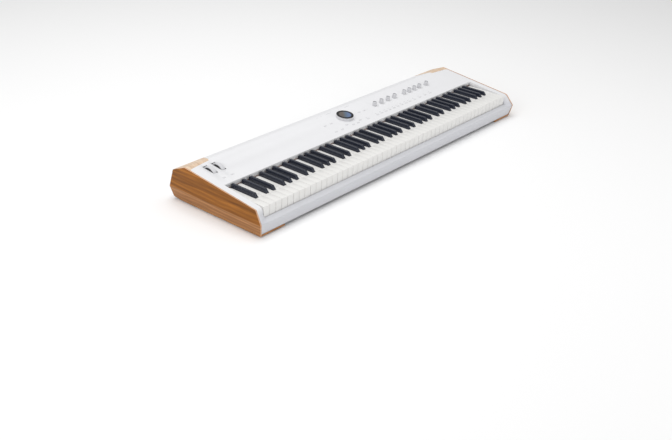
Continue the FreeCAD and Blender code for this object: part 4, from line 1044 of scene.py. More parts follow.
# ------------------------------------------------------------------------------------------
# Case
# ------------------------------------------------------------------------------------------
@dataclass
class Cover:
    """The white top: deck, chamfer, fallboard face and both rounded cheeks, in one skin."""

    cheek_inner: float = 612.5 * MM
    fallboard_edge: float = 1.6 * MM
    fallboard_foot: float = -33.0 * MM
    fallboard_low: float = 2.8 * MM
    nose_setback: float = 0.5 * MM
    nose_round: float = 18.0 * MM
    nose_foot: float = 24.0 * MM
    flare: tuple[float, float] = (12.5 * MM, 34.7 * MM)
    foot: tuple[float, float] = (20.0 * MM, 37.8 * MM)
    flare_rounds: tuple[float, float] = (20.0 * MM, 14.0 * MM)
    cheek_round: float = 1.5 * MM
    cheek_steps: int = 5
    fade_reach: float = 4.0
    slope_foot: tuple[float, float] = (20.8 * MM, 37.9 * MM)
    slope_nose: tuple[float, float] = (5.2 * MM, 2.1 * MM)
    slope_round: float = 16.0 * MM
    blend_columns: int = 9
    ridge_spread: float = 6.2 * MM
    row_shares: tuple[float, ...] = (0.0, 0.30, 0.97, 1.0)
    row_counts: tuple[int, ...] = (40, 8, 10)
    peak_round: float = 9.0 * MM
    lip: float = 3.4 * MM
    sheet: float = 2.0 * MM
    steps: int = 8

    def cheek_path(self, share: float) -> np.ndarray:
        """A line over the cheek, from its foot at the ledge up over the nose and back to the deck.

        The outer line slopes straight from the case's ridge to the nose, and the inner one
        flares out of the ledge in front of the keys. Lines between them are mixtures.

        Args:
            share: 0 for the inner line, 1 for the outer one.

        Returns:
            The points.
        """
        front, top = PLACES.key_front, PLACES.key_top
        nose = front + self.nose_setback
        inner = rounded([(front - self.foot[0], top - self.foot[1]),
                         (front - self.flare[0], top - self.flare[1]),
                         (nose, top - self.nose_foot), (nose, DECK.height(nose)), self.start],
                        [0, *self.flare_rounds, self.nose_round * 0.92, 0], self.steps)
        outer = rounded([(front - self.slope_foot[0], top - self.slope_foot[1]),
                         (front + self.slope_nose[0], top - self.slope_nose[1]), self.start],
                        [0, self.slope_round, 0], self.steps)
        spans = zip(self.row_shares[:-1], self.row_shares[1:], self.row_counts)
        parts = [np.linspace(first, last, count + 1)[1:] for first, last, count in spans]
        rows = np.concatenate([[0.0], *parts])
        return resampled(inner, rows) * (1 - share) + resampled(outer, rows) * share

    @property
    def start(self) -> tuple[float, float]:
        """Where the deck starts behind the fallboard's rounded edge."""
        y = PLACES.key_front + DECK.fallboard_setback + self.fallboard_edge
        return y, DECK.height(y)

    def fallboard_path(self, count: int) -> np.ndarray:
        """The fallboard's line, from below the keys' plane up to the deck, with as many points.

        Args:
            count: how many points.

        Returns:
            The points.
        """
        y = PLACES.key_front + DECK.fallboard_setback
        line = rounded([(y, PLACES.key_top + self.fallboard_low), (y, DECK.height(y)), self.start],
                       [0, self.fallboard_edge * 0.95, 0], self.steps)
        low = np.linspace(0, 1, count - len(line) + 1)[:-1, None]
        foot = np.array([[y, PLACES.key_top + self.fallboard_foot]])
        return np.concatenate([foot + low * (line[:1] - foot), line])

    def deck_path(self) -> np.ndarray:
        """The deck's line from the fallboard, over the peak and down the chamfer to its lip."""
        rear_y, rear_z = DECK.rear
        corners = [self.start, DECK.peak, (rear_y, rear_z), (rear_y, rear_z - self.lip)]
        return rounded(corners, [0, self.peak_round, 1.2 * MM, 0], self.steps)

    def build(self, slots: list[tuple[float, float, float, float]]) -> None:
        """Make the skin, with an opening for each wheel.

        The grid's rows follow one path and its columns run along X. Below the deck's start the
        outer columns follow the cheek and the middle ones the fallboard, so the cells between
        the two paths are the cheek's inner wall. Between the cheek's face and that wall the
        columns follow a quarter circle, whose radius fades to nothing where the paths meet.

        Args:
            slots: each opening's left, right, near and far edge.
        """
        path = self.cheek_path(0.0)
        ahead = np.gradient(path, axis=0)
        ahead /= np.linalg.norm(ahead, axis=1)[:, None]
        inward = np.column_stack([ahead[:, 1], -ahead[:, 0]])[:-1]
        cheek = path[:-1]
        board = self.fallboard_path(len(path))[:-1]
        deck = self.deck_path()
        edges = sorted({edge for slot in slots for edge in slot[2:]})
        height = np.array([[y, DECK.height(y)] for y in edges])
        deck = np.insert(deck, np.searchsorted(deck[:, 0], height[:, 0]), height, axis=0)
        inner, outer = self.cheek_inner, PLACES.side_inner
        apart = np.linalg.norm(cheek - board, axis=1)
        fade = np.clip(apart / (self.fade_reach * self.cheek_round), 0, 1) * self.cheek_round
        still = np.zeros(len(deck))
        low, high = PLACES.key_top - self.slope_foot[1], PLACES.key_top - self.slope_nose[1]
        spread = np.clip((high - self.cheek_path(1.0)[:-1, 1]) / (high - low), 0, 1)
        tip = np.concatenate([spread * self.ridge_spread, still])
        flank = []
        for step in np.linspace(0, 1, self.blend_columns)[:-1]:
            share = 0.5 + 0.5 * math.cos(math.pi * step)
            line = self.cheek_path(share)[:-1]
            flank.append((outer + tip * (1 - step) + (inner + self.cheek_round - outer) * step, line))
        for turn in np.linspace(0, math.pi / 2, self.cheek_steps):
            reach = np.concatenate([fade * (1 - math.sin(turn)), still])
            flank.append((inner + reach, cheek + inward * (fade * (1 - math.cos(turn)))[:, None]))
        flank.append((np.full(len(cheek) + len(deck), inner), board))
        slot_x = sorted({edge for slot in slots for edge in slot[:2]})
        middle = [(np.full(len(cheek) + len(deck), x), board) for x in slot_x]
        columns = [(-x, line) for x, line in flank] + middle + flank[::-1]
        points = np.stack([np.column_stack([x, np.concatenate([line, deck])]) for x, line in columns], axis=1)
        rows, last, wall = len(points), len(columns) - 1, len(flank) - 1
        keep = np.ones((rows - 1, last), bool)
        ridge = int(np.argmax(deck[:, 1])) + len(cheek)
        for left, _, near, far in slots:
            y = points[:ridge, wall, 1]
            first = int(np.argmin(np.abs(y - near)))
            final = int(np.argmin(np.abs(y - far)))
            keep[first:final, wall + 1 + slot_x.index(left)] = False
        foot = int(np.argmin(np.abs(board[:, 1] - (PLACES.key_top + self.fallboard_low))))
        keep[:foot, wall:last - wall] = False
        surface = Surface(points.reshape(-1, 3), quads(rows, last + 1, keep=keep))
        piece = Piece("white_cover", Body.CASE.value, "cover_white", PAINT.of(WHITE),
                      ("top_cover", "left_end_block", "right_end_block"), sharp=40.0, wall=self.sheet,
                      turn_out=False)
        piece.build([surface])


@dataclass
class Rail:
    """The white rail in front of the keys: a ledge, a soft ridge and an undercut face."""

    rear_gap: float = 1.5 * MM
    rear_drop: float = 31.0 * MM
    ridge_inset: float = 0.5 * MM
    ridge_height: float = 42.0 * MM
    foot_inset: float = 8.5 * MM
    foot_height: float = 8.5 * MM
    ridge_round: float = 4.0 * MM
    rear_round: float = 1.0 * MM
    foot_round: float = 0.8 * MM
    skirt_drop: float = 52.0 * MM
    steps: int = 8
    wall: float = 2.6 * MM
    spread: float = 6.2 * MM
    spread_drop: float = 31.0 * MM

    def build(self) -> None:
        """Make the rail: its closed outline carried along X, a little further at the ridge."""
        rear = PLACES.key_front - self.rear_gap
        ridge = PLACES.case_front + self.ridge_inset
        foot = PLACES.case_front + self.foot_inset
        low = PLACES.key_top - self.skirt_drop
        high = PLACES.key_top - self.rear_drop
        corners = [(rear, high), (ridge, self.ridge_height), (foot, self.foot_height),
                   (foot + self.wall, self.foot_height),
                   (ridge + self.wall, self.ridge_height - self.wall / 2),
                   (rear - self.wall, high - self.wall), (rear - self.wall, low), (rear, low)]
        radii = [self.rear_round, self.ridge_round, self.foot_round, 0, self.ridge_round / 2, 0, 0, 0]
        outline = rounded(corners, radii, self.steps, True)
        # the rail's finish is the cover's white darkened as painted shade
        piece = Piece("front_ledge_rail", Body.CASE.value, "cover_white", PAINT.of(SHADED_RAIL_WHITE),
                      ("front_rail",))
        below = np.clip((self.ridge_height - outline[:, 1]) / self.spread_drop, -1, 1)
        spread = self.spread * (1 - np.abs(below)) * (outline[:, 0] < foot + self.wall)
        piece.build([extruded(outline, PLACES.side_inner + spread)])


@dataclass
class SidePanel:
    """A wooden side: a narrow top edge, and two long facets that meet at a ridge."""

    side: Side
    top_wall: float = 4.7 * MM
    ridge_wall: float = 11.0 * MM
    low_wall: float = 3.3 * MM
    front_ridge: float = 42.0 * MM
    rear_ridge: float = 39.0 * MM
    front_foot: float = 8.0 * MM
    rear_foot: float = 34.0 * MM
    rear_low: tuple[float, float] = (10.0 * MM, 7.0 * MM)
    front_wall: float = 4.9 * MM
    flare_share: float = 0.15
    band_inset: float = 0.5 * MM
    band_proud: float = 0.12 * MM
    band_sink: float = 0.3 * MM

    def band(self, line: np.ndarray, outer_x: np.ndarray, upward: float) -> Surface:
        """A pale strip on the panel's narrow edge, partly its own paler tone and partly painted highlight on
        the top edge, which catches light from above: its outline raised a little along its normal.

        Args:
            line: the edge's (y, z) points.
            outer_x: the edge's outer X at each point.
            upward: 1 if the edge runs over the top, -1 if it runs under.

        Returns:
            The closed strip.
        """
        ahead = np.gradient(line, axis=0)
        ahead /= np.linalg.norm(ahead, axis=1)[:, None]
        out = np.column_stack([-ahead[:, 1], ahead[:, 0]]) * upward
        near = np.maximum(PLACES.side_inner, outer_x - self.front_wall) + self.band_inset
        far = outer_x - self.band_inset
        corners = [(near, -self.band_sink), (near, self.band_proud),
                   (far, self.band_proud), (far, -self.band_sink)]
        points = np.stack([np.column_stack([x, line + out * lift]) for x, lift in corners], axis=1)
        points[..., 0] *= self.side.value
        count = points.shape[0] * points.shape[1]
        faces = quads(len(line), 4, ring=True) + [[3, 2, 1, 0], list(range(count - 4, count))]
        return Surface(points.reshape(-1, 3), faces)

    def build(self) -> None:
        """Make the panel.

        The upper half of the outline runs from the ridge's front end over the top to its rear
        end, and the lower half along the bottom. Every outline point is joined to the ridge by
        a ruled line: fans at both ends, and matching fractions of the length between them.
        """
        places, low = PLACES, PLACES.side_low
        head = (places.case_front, self.front_ridge)
        tail = (places.case_rear, self.rear_ridge)
        top_front = (places.key_front + DECK.start_setback, places.key_top - DECK.start_drop)
        upper = rounded([head, top_front, DECK.peak, DECK.rear, tail], [0, 8 * MM, 7 * MM, 4 * MM, 0], 8)
        lower = rounded([head, (places.case_front + self.front_foot, low),
                         (places.case_rear - self.rear_foot, low),
                         (places.case_rear - self.rear_low[0], self.rear_low[1]), tail],
                        [0, 3 * MM, 4 * MM, 3 * MM, 0], 6)
        top_x = places.side_inner + self.top_wall
        ridge_x = places.side_inner + self.ridge_wall
        low_x = places.side_inner + self.low_wall
        share = np.union1d(fractions_of(upper), fractions_of(lower))
        share = share[np.concatenate([[True], np.diff(share) > 1e-5])]
        surfaces, bands = [], []
        ridge_share = np.clip((share - 0.13) / 0.74, 0, 1)
        ridge = np.column_stack([np.full(len(share), ridge_x),
                                 head[0] + ridge_share * (tail[0] - head[0]),
                                 head[1] + ridge_share * (tail[1] - head[1])])
        for half, level, upward in ((upper, top_x, 1.0), (lower, low_x, -1.0)):
            line = resampled(half, share)
            near = np.clip(np.minimum(share / 0.10, (1 - share) / 0.10), 0, 1)
            outer_x = ridge_x + (level - ridge_x) * near
            rim = np.column_stack([outer_x, line])
            shown = (np.ones(len(share), bool) if upward > 0
                     else (line[:, 1] > low + self.band_inset) & (line[:, 0] < 0))
            bands.append(self.band(line[shown], outer_x[shown], upward))
            front = np.where(share < 0.5, outer_x - self.front_wall, places.side_inner)
            inside = np.column_stack([np.maximum(places.side_inner, front), line])
            middle = inside.copy()
            middle[:, 0] = np.interp(ridge_share, [0, self.flare_share],
                                     [ridge_x - self.front_wall, places.side_inner])
            middle[:, 1:] = ridge[:, 1:]
            steps = np.linspace(0, 1, 7)[:, None, None]
            facet = rim[None] + steps * (ridge - rim)[None]
            rows = np.concatenate([middle[None], inside[None], facet])
            rows[..., 0] *= self.side.value
            surfaces.append(Surface(rows.reshape(-1, 3), quads(len(rows), len(share))))
        name = "left_side_panel" if self.side is Side.BASS else "right_side_panel"
        piece = Piece(f"{self.side.name.lower()}_side_board", Body.CASE.value, "wood_side", PAINT.of(WOOD),
                      (name,), sharp=14.0, bevel=0.4 * MM, bevel_from=40.0)
        piece.build(surfaces)
        # partly painted highlight: the pale band on the panel's narrow edges
        edge = Piece(f"{self.side.name.lower()}_edge_band", Body.CASE.value, "wood_pale", PAINT.of(EDGE_WOOD_AND_HIGHLIGHT))
        edge.build(bands)


@dataclass
class CornerCap:
    """A pale wooden cap on a rear top corner, following the deck's bend."""

    side: Side
    setback: float = 268.0 * MM
    tip_setback: float = 277.0 * MM
    tip_length: float = 80.0 * MM
    rear_length: float = 113.0 * MM
    fillet: float = 8.0 * MM
    proud: float = 0.25 * MM
    wall: float = 3.0 * MM

    def build(self) -> None:
        """Make the cap.

        Columns run from the side panel inwards. The front edge starts with a concave quarter
        circle, where the wood turns from the side's edge onto the deck, then runs straight to
        the tip. Rows run from that edge to the bend, and from the bend down the chamfer.
        """
        front = PLACES.key_front
        peak_y, peak_z = DECK.peak
        rear_y, rear_z = DECK.rear
        arc = np.linspace(0, math.pi / 2, 9)
        straight = np.linspace(self.fillet, self.tip_length, 14)[1:]
        reach = np.concatenate([self.fillet * (1 - np.cos(arc)), straight])
        slope = (self.tip_setback - self.setback) / self.tip_length
        edge = np.where(reach < self.fillet,
                        self.setback - self.fillet
                        + np.sqrt(np.clip(self.fillet ** 2 - (self.fillet - reach) ** 2, 0, None)),
                        self.setback + slope * reach) + front
        share = (peak_y - front - self.tip_setback) / (rear_y - front - self.tip_setback)
        peak_length = self.tip_length + (self.rear_length - self.tip_length) * share
        fraction = reach / self.tip_length
        steps = np.concatenate([np.linspace(0, 0.9, 5), [0.96, 1.0]])[:, None]
        first_y = edge + steps * (peak_y - edge)
        first_x = reach + steps * (fraction * peak_length - reach)
        first_z = DECK.height(first_y)
        steps = np.concatenate([[0.05, 0.1], np.linspace(0.3, 1, 5)])[:, None]
        second_y = peak_y + steps * (rear_y - peak_y) + 0 * fraction
        second_x = fraction * (peak_length + steps * (self.rear_length - peak_length))
        second_z = peak_z + steps * (rear_z - peak_z) + 0 * fraction
        x = np.concatenate([first_x, second_x])
        y = np.concatenate([first_y, second_y])
        z = np.concatenate([first_z, second_z]) + self.proud
        x = self.side.value * (PLACES.side_inner - x)
        points = np.stack([x, y, z], axis=-1)
        under = points - np.array([0, 0, self.wall])
        rows, columns = x.shape
        rim = np.concatenate([points[0], points[1:, -1], points[-1, -2::-1], points[-2:0:-1, 0]])
        low_rim = rim - np.array([0, 0, self.wall])
        surfaces = [Surface(points.reshape(-1, 3), quads(rows, columns)),
                    Surface(under.reshape(-1, 3), quads(rows, columns)),
                    Surface(np.concatenate([rim, low_rim]), quads(2, len(rim), ring=True))]
        name = f"{self.side.name.lower()}_corner_cap"
        replaced = ("corner_caps",) if self.side is Side.BASS else ()
        piece = Piece(name, Body.CASE.value, "wood_pale", PAINT.of(PALE_WOOD), replaced, sharp=12.0,
                      bevel=0.35 * MM, bevel_from=50.0)
        piece.build(surfaces)


# ------------------------------------------------------------------------------------------
# Controls
# ------------------------------------------------------------------------------------------
def centre_x(node: str) -> float:
    """X of a node's middle."""
    low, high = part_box(node)
    return (low.x + high.x) / 2


@dataclass
class Knobs:
    """Nine turned knobs with a groove near the rim of their tops."""

    count: int = 9
    setback: float = 228.0 * MM
    radius: float = 7.6 * MM
    top_radius: float = 7.1 * MM
    height: float = 13.0 * MM
    lift: float = 0.8 * MM
    dish: float = 5.9 * MM
    dish_depth: float = 2.2 * MM
    # width of the dark ring of painted shade inside the dish
    shade_ring: float = 0.3 * MM

    def profile(self) -> np.ndarray:
        """The knob's half section: skirt, wall, rounded rim and dished top."""
        floor = self.height - self.dish_depth
        corners = [(0, self.lift), (self.radius - 0.4 * MM, self.lift), (self.radius, self.lift + 0.4 * MM),
                   (self.top_radius, self.height), (self.dish + 0.1 * MM, self.height), (self.dish, floor),
                   (0, floor + 0.2 * MM)]
        return rounded(corners, [0, 0.3 * MM, 0.3 * MM, 0.5 * MM, 0.15 * MM, 0.4 * MM, 0], 5)

    def shade_ring_section(self) -> np.ndarray:
        """The half section of the dark ring of painted shade inside the dish's wall, where its far side is in
        shade.
        """
        low, high = self.height - self.dish_depth, self.height - 0.5 * MM
        ring = np.array([(self.dish + 0.2 * MM, low), (self.dish + 0.2 * MM, high),
                         (self.dish - self.shade_ring, high), (self.dish - self.shade_ring, low)])
        return np.concatenate([ring, ring[:1]])

    def build(self) -> None:
        """Make a piece for each knob."""
        for number in range(1, self.count + 1):
            place = DECK.frame_at(centre_x(f"knob_{number}"), self.setback)
            origin, across, along, normal = place
            cap = turned(self.profile(), origin, across, along, normal, 56)
            # painted shade: a dark ring on the dish's wall stands for the shade on its far side
            shade_ring = turned(self.shade_ring_section(), origin, across, along, normal, 56)
            floor = self.height - self.dish_depth
            pointer = slab_on(origin + along * 2.6 * MM, across, along, normal, (0.35 * MM, 1.6 * MM),
                              0.3 * MM, floor - 0.3 * MM, floor + 0.3 * MM, 0.04 * MM)
            shaft = turned(np.array([(0, -11 * MM), (3 * MM, -11 * MM), (3 * MM, 1 * MM), (0, 1 * MM)]),
                           origin, across, along, normal, 24)
            body = f"knob_{number}"
            Piece(f"turning_knob_{number}", body, "knob_white", PAINT.of(CONTROL_WHITE), (body,)).build(
                [cap, shaft])
            Piece(f"knob_pointer_{number}", body, "knob_white", PAINT.of(PRINT_AND_SHADE_GREY)).build(
                [shade_ring, pointer])


@dataclass
class RoundDisplay:
    """The dial ring, its flange, the black bezel and the glass face."""

    setback: float = 227.0 * MM
    radius: float = 28.4 * MM
    bore: float = 25.3 * MM
    flange: float = 31.0 * MM
    flange_height: float = 1.4 * MM
    ring_low: float = 1.8 * MM
    ring_high: float = 10.3 * MM
    bezel_high: float = 11.6 * MM
    bezel_low: float = 10.6 * MM
    stem: float = 24.9 * MM
    glass: float = 20.5 * MM
    glass_dip: float = 0.35 * MM

    def build(self) -> None:
        """Make the four pieces."""
        origin, across, along, normal = DECK.frame_at(centre_x("dial_ring"), self.setback)
        flange = rounded([(self.bore, -0.5 * MM), (self.flange, -0.5 * MM), (self.flange, self.flange_height),
                          (self.bore, self.flange_height)], [0, 0, 0.7 * MM, 0], 6, True)
        flange = np.concatenate([flange, flange[:1]])
        Piece("dial_flange", Body.CASE.value, "cover_white", PAINT.of(WHITE)).build(
            [turned(flange, origin, across, along, normal, 128)])
        ring = rounded([(self.bore, self.ring_low), (self.radius + 0.5 * MM, self.ring_low),
                        (self.radius, self.ring_high), (self.bore, self.ring_high)],
                       [0, 0.3 * MM, 0.5 * MM, 0], 5, True)
        ring = np.concatenate([ring, ring[:1]])
        segments = 360
        turn = np.linspace(0, 2 * math.pi, segments, endpoint=False)
        grip = 1 - 0.0045 * np.clip(np.cos(72 * turn), 0, 1)
        wall = (ring[:, 0] > self.radius - 0.1 * MM)[:, None]
        ripple = np.where(wall, grip[None, :], 1.0)
        Piece("turning_dial", Body.DIAL.value, "dial_white", PAINT.of(CONTROL_WHITE), ("dial_ring",)).build(
            [turned(ring, origin, across, along, normal, segments, ripple)])
        top = self.bezel_high
        bezel = rounded([(self.glass, top - 1.2 * MM), (self.glass, top - 0.2 * MM),
                         (self.glass + 0.8 * MM, top),
                         (self.radius, top), (self.radius, self.bezel_low), (self.stem, self.bezel_low),
                         (self.stem, -12.0 * MM), (self.stem - 2 * MM, -12.0 * MM),
                         (self.stem - 2 * MM, top - 1.2 * MM)],
                        [0, 0.1 * MM, 0.3 * MM, 0.45 * MM, 0.2 * MM, 0, 0, 0, 0], 5, True)
        bezel = np.concatenate([bezel, bezel[:1]])
        Piece("round_bezel", Body.CASE.value, "bezel_black", PAINT.of(BEZEL), ("display_bezel",)).build(
            [turned(bezel, origin, across, along, normal, 128)])
        radii = np.linspace(0, self.glass, 10)
        high = top - self.glass_dip
        crown = high + 0.25 * MM * (1 - (radii / self.glass) ** 2)
        face = np.concatenate([np.stack([radii, crown], axis=1),
                               [[self.glass, high - 1.2 * MM], [0, high - 1.2 * MM]]])
        centre = origin + normal * high
        picture = DISPLAY.build(centre, self.glass)
        Piece("display_face", Body.CASE.value, "lens_glass", picture, ("display_lens",)).build(
            [turned(face, origin, across, along, normal, 96)])


@dataclass
class Wheels:
    """The pitch and modulation wheels, with fine ribs and a finger notch on the first."""

    setback: float = 236.0 * MM
    radius: float = 27.0 * MM
    half: float = 6.0 * MM
    axle_depth: float = 18.0 * MM
    axle: float = 3.05 * MM
    slot_half: float = 8.5 * MM
    slot_reach: float = 24.9 * MM
    rim: float = 3.5 * MM
    shade_disc_lift: float = 0.15 * MM
    ribs: int = 64

    def slots(self) -> list[tuple[float, float, float, float]]:
        """The deck's opening over each wheel: left, right, near and far edge."""
        run = self.slot_reach * math.cos(DECK.slope)
        y = PLACES.key_front + self.setback
        return [(x - self.slot_half, x + self.slot_half, y - run, y + run)
                for x in (centre_x("pitch_wheel"), centre_x("mod_wheel"))]

    def build(self) -> None:
        """Make both wheels: a turned rim whose radius dips at each rib's gap and at the notch, and dark discs
        of painted shade on its sides.
        """
        edge = 1.6 * MM
        rim = rounded([(self.axle, -self.half), (self.radius, -self.half), (self.radius, self.half),
                       (self.axle, self.half)], [0, edge, edge, 0], 5, True)
        rim = np.concatenate([rim, rim[:1]])
        segments = self.ribs * 6
        turn = np.linspace(0, 2 * math.pi, segments, endpoint=False)
        groove = 0.22 * MM * np.clip(np.cos(self.ribs * turn), 0, 1) ** 2
        outer = np.clip((rim[:, 0] - self.radius + edge) / edge, 0, 1)[:, None]
        for name, notch in (("pitch_wheel", 1.4 * MM), ("mod_wheel", 0.0)):
            origin, across, along, normal = DECK.frame_at(centre_x(name), self.setback)
            dip = notch * np.exp(-((turn - math.pi / 2) / 0.11) ** 2)
            ripple = 1 - outer * (groove + dip)[None, :] / self.radius
            surface = turned(rim, origin - normal * self.axle_depth, along, normal, across, segments, ripple)
            Piece(f"ribbed_{name}", name, "wheel_white", PAINT.of(CONTROL_WHITE), (name,)).build([surface])
            # painted shade: dark discs on both sides of the wheel, inside its rim, for the shade in the slot
            half, shade_disc_radius = self.half + self.shade_disc_lift, self.radius - self.rim
            disc = rounded([(self.axle, -half), (shade_disc_radius, -half), (shade_disc_radius, half), (self.axle, half)],
                           [0, self.shade_disc_lift, self.shade_disc_lift, 0], 3, True)
            disc = np.concatenate([disc, disc[:1]])
            face = turned(disc, origin - normal * self.axle_depth, along, normal, across, 96)
            Piece(f"{name}_side_shade_faces", name, "wheel_white", PAINT.of(WHEEL_SIDE_SHADE)).build([face])


@dataclass
class Buttons:
    """Flush buttons, a grey ring of painted shade for the gap round each, and plain printed marks."""

    half: tuple[float, float] = (5.5 * MM, 2.5 * MM)
    corner: float = 1.5 * MM
    height: float = 0.9 * MM
    gap: float = 0.3 * MM
    row_setback: float = 177.0 * MM
    upper_setback: float = 223.5 * MM
    arc_radius: float = 51.0 * MM
    arc_pitch: float = math.radians(26.3)
    arc_tilt: float = math.radians(2.0)
    dashes: tuple[tuple[float, float, float], ...] = (
        (-86.2, 276.6, 1.6), (-66.6, 276.6, 1.6), (-29.8, 276.6, 12.5), (21.7, 276.6, 1.6),
        (61.6, 276.6, 12.4),
        (105.5, 223.5, 1.6), (-585.5, 206.5, 2.5), (-554.6, 208.7, 2.5), (589.3, 267.4, 3.0),
        (607.2, 268.6, 3.0), (589.6, 175.3, 1.2), (611.8, 181.5, 1.2))

    def row_places(self) -> list[tuple[float, float]]:
        """X and setback of each button in the long row."""
        close = [104.5 + 22.2 * index for index in range(9)]
        wide = [310.0 + 30.8 * index for index in range(4)]
        return [(spot * MM, self.row_setback) for spot in (54.0, *close, *wide)]

    def panel_places(self) -> list[tuple[float, float]]:
        """X and setback of the buttons on the arc, beside the dial and in front of the wheels."""
        dial = centre_x("dial_ring")
        turns = [self.arc_tilt - (index - 1.5) * self.arc_pitch for index in range(4)]
        places = [(dial - self.arc_radius * math.sin(turn), 227.0 * MM - self.arc_radius * math.cos(turn))
                  for turn in turns]
        for setback in (self.upper_setback, self.row_setback):
            places += [(x * MM, setback) for x in (-106.0, -77.0)]
        places += [(x * MM, self.upper_setback) for x in (63.0, 90.0)]
        places += [(centre_x(name), 180.0 * MM) for name in ("pitch_wheel", "mod_wheel")]
        return places

    def slabs(self, places: list[tuple[float, float]], grow: float, low: float, high: float,
              edge: float) -> list[Surface]:
        """Rounded slabs on the deck, one for each place."""
        half = (self.half[0] + grow, self.half[1] + grow)
        return [slab_on(*DECK.frame_at(x, setback), half, self.corner + grow, low, high, edge)
                for x, setback in places]

    def marks(self) -> list[Surface]:
        """Short printed dashes behind the buttons, beside the knobs and about the deck."""
        made = []
        for x, setback, half in self.dashes:
            made.append(slab_on(*DECK.frame_at(x * MM, setback * MM), (half * MM, 0.45 * MM), 0.3 * MM,
                                -0.2 * MM, 0.05 * MM, 0.02 * MM))
        for x, setback in self.row_places():
            made.append(slab_on(*DECK.frame_at(x, setback + 8.5 * MM), (3.4 * MM, 0.55 * MM), 0.3 * MM,
                                -0.2 * MM, 0.05 * MM, 0.02 * MM))
        for number in range(1, 10):
            for turn in (-1, 1):
                x = centre_x(f"knob_{number}") + turn * 11.0 * MM
                made.append(slab_on(*DECK.frame_at(x, 220.0 * MM), (0.8 * MM, 0.8 * MM), 0.4 * MM,
                                    -0.2 * MM, 0.05 * MM, 0.02 * MM))
        return made

    def build(self) -> None:
        """Make the two groups of buttons, the painted shade of their gaps and the marks."""
        groups = ((Body.ROW, self.row_places()), (Body.PANEL, self.panel_places()))
        for body, places in groups:
            name = body.value
            Piece(f"{name}_caps", name, "button_grey", PAINT.of(BUTTON_GREY), (name,)).build(
                self.slabs(places, 0.0, -4.0 * MM, self.height, 0.35 * MM))
        every = self.row_places() + self.panel_places()
        # painted shade: a thin grey ring on the deck round each button, where its gap is in shade
        Piece("button_gap_shade", Body.CASE.value, "cover_white", PAINT.of(GAP_SHADE_GREY)).build(
            self.slabs(every, self.gap, -0.3 * MM, 0.04 * MM, 0.02 * MM))
        Piece("printed_marks", Body.CASE.value, "cover_white", PAINT.of(PRINT_AND_SHADE_GREY)).build(self.marks())


# ------------------------------------------------------------------------------------------
# Nodes that stay as packed
# ------------------------------------------------------------------------------------------
KEPT = {
    "base_tray": TRAY, "rear_panel": WHITE, "base_boards": WOOD, "key_frame": STEEL, "pivot_rods": ROD,
    "key_contact_board": GREEN_BOARD, "control_board": DARK_BOARD, "felt_strips": FELT, "jack_plate": BAY,
    "rear_sockets": SOCKET, "wheel_bracket": STEEL, "rubber_feet": RUBBER, "case_screws": ROD,
}
KEPT.update({f"hammers_{note}": WEIGHT for note in NOTES})


def dress_kept_nodes() -> None:
    """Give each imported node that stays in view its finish."""
    for name, finish in KEPT.items():
        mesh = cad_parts[name].data
        material = PAINT.of(finish)
        if not mesh.materials:
            mesh.materials.append(material)
        for index in range(len(mesh.materials)):
            mesh.materials[index] = material


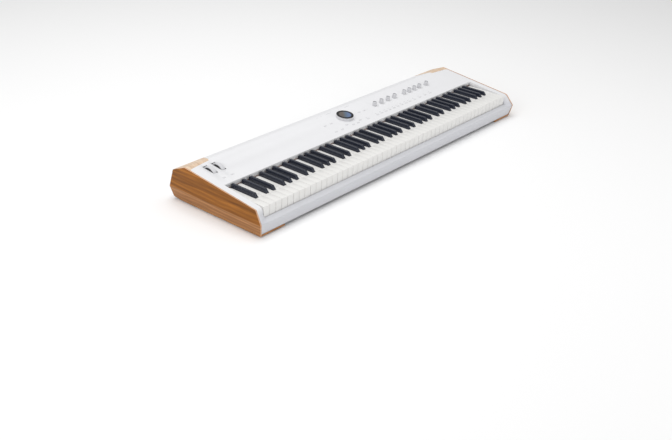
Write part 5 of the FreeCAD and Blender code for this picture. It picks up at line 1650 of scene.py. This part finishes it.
# ------------------------------------------------------------------------------------------
# Studio
# ------------------------------------------------------------------------------------------
@dataclass
class Studio:
    """The floor, the light and the camera."""

    azimuth: float = math.radians(-50.4)
    elevation: float = math.radians(27.7)
    roll: float = math.radians(2.1)
    distance: float = 2.434
    target: tuple[float, float, float] = (-0.533, -0.3505, 0.080)
    lens: float = 49.77
    sensor: float = 36.0
    floor_size: float = 40.0

    def camera(self) -> None:
        """Place the camera: back along the view's direction from its target, then rolled."""
        a, e = self.azimuth, self.elevation
        back = Vector((math.sin(a) * math.cos(e), -math.cos(a) * math.cos(e), math.sin(e)))
        across = Vector((0, 0, 1)).cross(back).normalized()
        up = back.cross(across)
        turned_across = across * math.cos(self.roll) + up * math.sin(self.roll)
        turned_up = up * math.cos(self.roll) - across * math.sin(self.roll)
        data = bpy.data.cameras.new("view")
        data.lens = self.lens
        data.sensor_width = self.sensor
        data.clip_start = 0.05
        data.clip_end = 100.0
        item = bpy.data.objects.new("view", data)
        bpy.context.scene.collection.objects.link(item)
        turn = Matrix((turned_across, turned_up, back)).transposed().to_4x4()
        item.matrix_world = Matrix.Translation(Vector(self.target) + back * self.distance) @ turn
        bpy.context.scene.camera = item

    def floor(self) -> None:
        """A plain pale floor."""
        half = self.floor_size / 2
        mesh = bpy.data.meshes.new("floor")
        mesh.from_pydata([(-half, -half, 0), (half, -half, 0), (half, half, 0), (-half, half, 0)], [],
                         [(0, 1, 2, 3)])
        shader = Shader("pale_floor")
        shader.set(Base_Color=(0.96, 0.96, 0.96, 1.0), Roughness=0.9, Specular_IOR_Level=0.1)
        mesh.materials.append(shader.material)
        item = bpy.data.objects.new("floor", mesh)
        bpy.context.scene.collection.objects.link(item)

    def light(self, name: str, place: tuple, aim: tuple, size: float, power: float) -> None:
        """A square soft light.

        Args:
            name: its name.
            place: where it is.
            aim: the point it faces.
            size: its side.
            power: its power in watts.
        """
        data = bpy.data.lights.new(name, "AREA")
        data.shape = "SQUARE"
        data.size = size
        data.energy = power
        item = bpy.data.objects.new(name, data)
        bpy.context.scene.collection.objects.link(item)
        direction = Vector(aim) - Vector(place)
        turn = direction.to_track_quat("-Z", "Y").to_matrix().to_4x4()
        item.matrix_world = Matrix.Translation(place) @ turn

    def build(self) -> None:
        """Set the whole studio up."""
        scene = bpy.context.scene
        scene.view_settings.view_transform = "Standard"
        world = bpy.data.worlds.new("studio")
        world.use_nodes = True
        background = world.node_tree.nodes["Background"]
        background.inputs["Color"].default_value = (1.0, 1.0, 1.0, 1.0)
        background.inputs["Strength"].default_value = 0.54
        scene.world = world
        self.floor()
        self.light("overhead", (-0.2, 0.6, 3.2), (0, 0, 0.1), 2.6, 53.0)
        self.light("side", (-3.4, -0.6, 2.0), (-0.3, 0, 0.05), 1.8, 28.0)
        self.light("front", (0.8, -3.4, 1.2), (0.2, 0, 0.05), 2.0, 19.0)
        self.camera()


def main() -> None:
    """Build the studio, then every sub-assembly in order."""
    logging.basicConfig(level=logging.INFO, format="%(message)s")
    Studio().build()
    dress_kept_nodes()
    wheels = Wheels()
    Cover().build(wheels.slots())
    Rail().build()
    for side in Side:
        SidePanel(side).build()
        CornerCap(side).build()
    Keyboard().build()
    wheels.build()
    RoundDisplay().build()
    Knobs().build()
    Buttons().build()


if __name__ == "__main__":
    main()
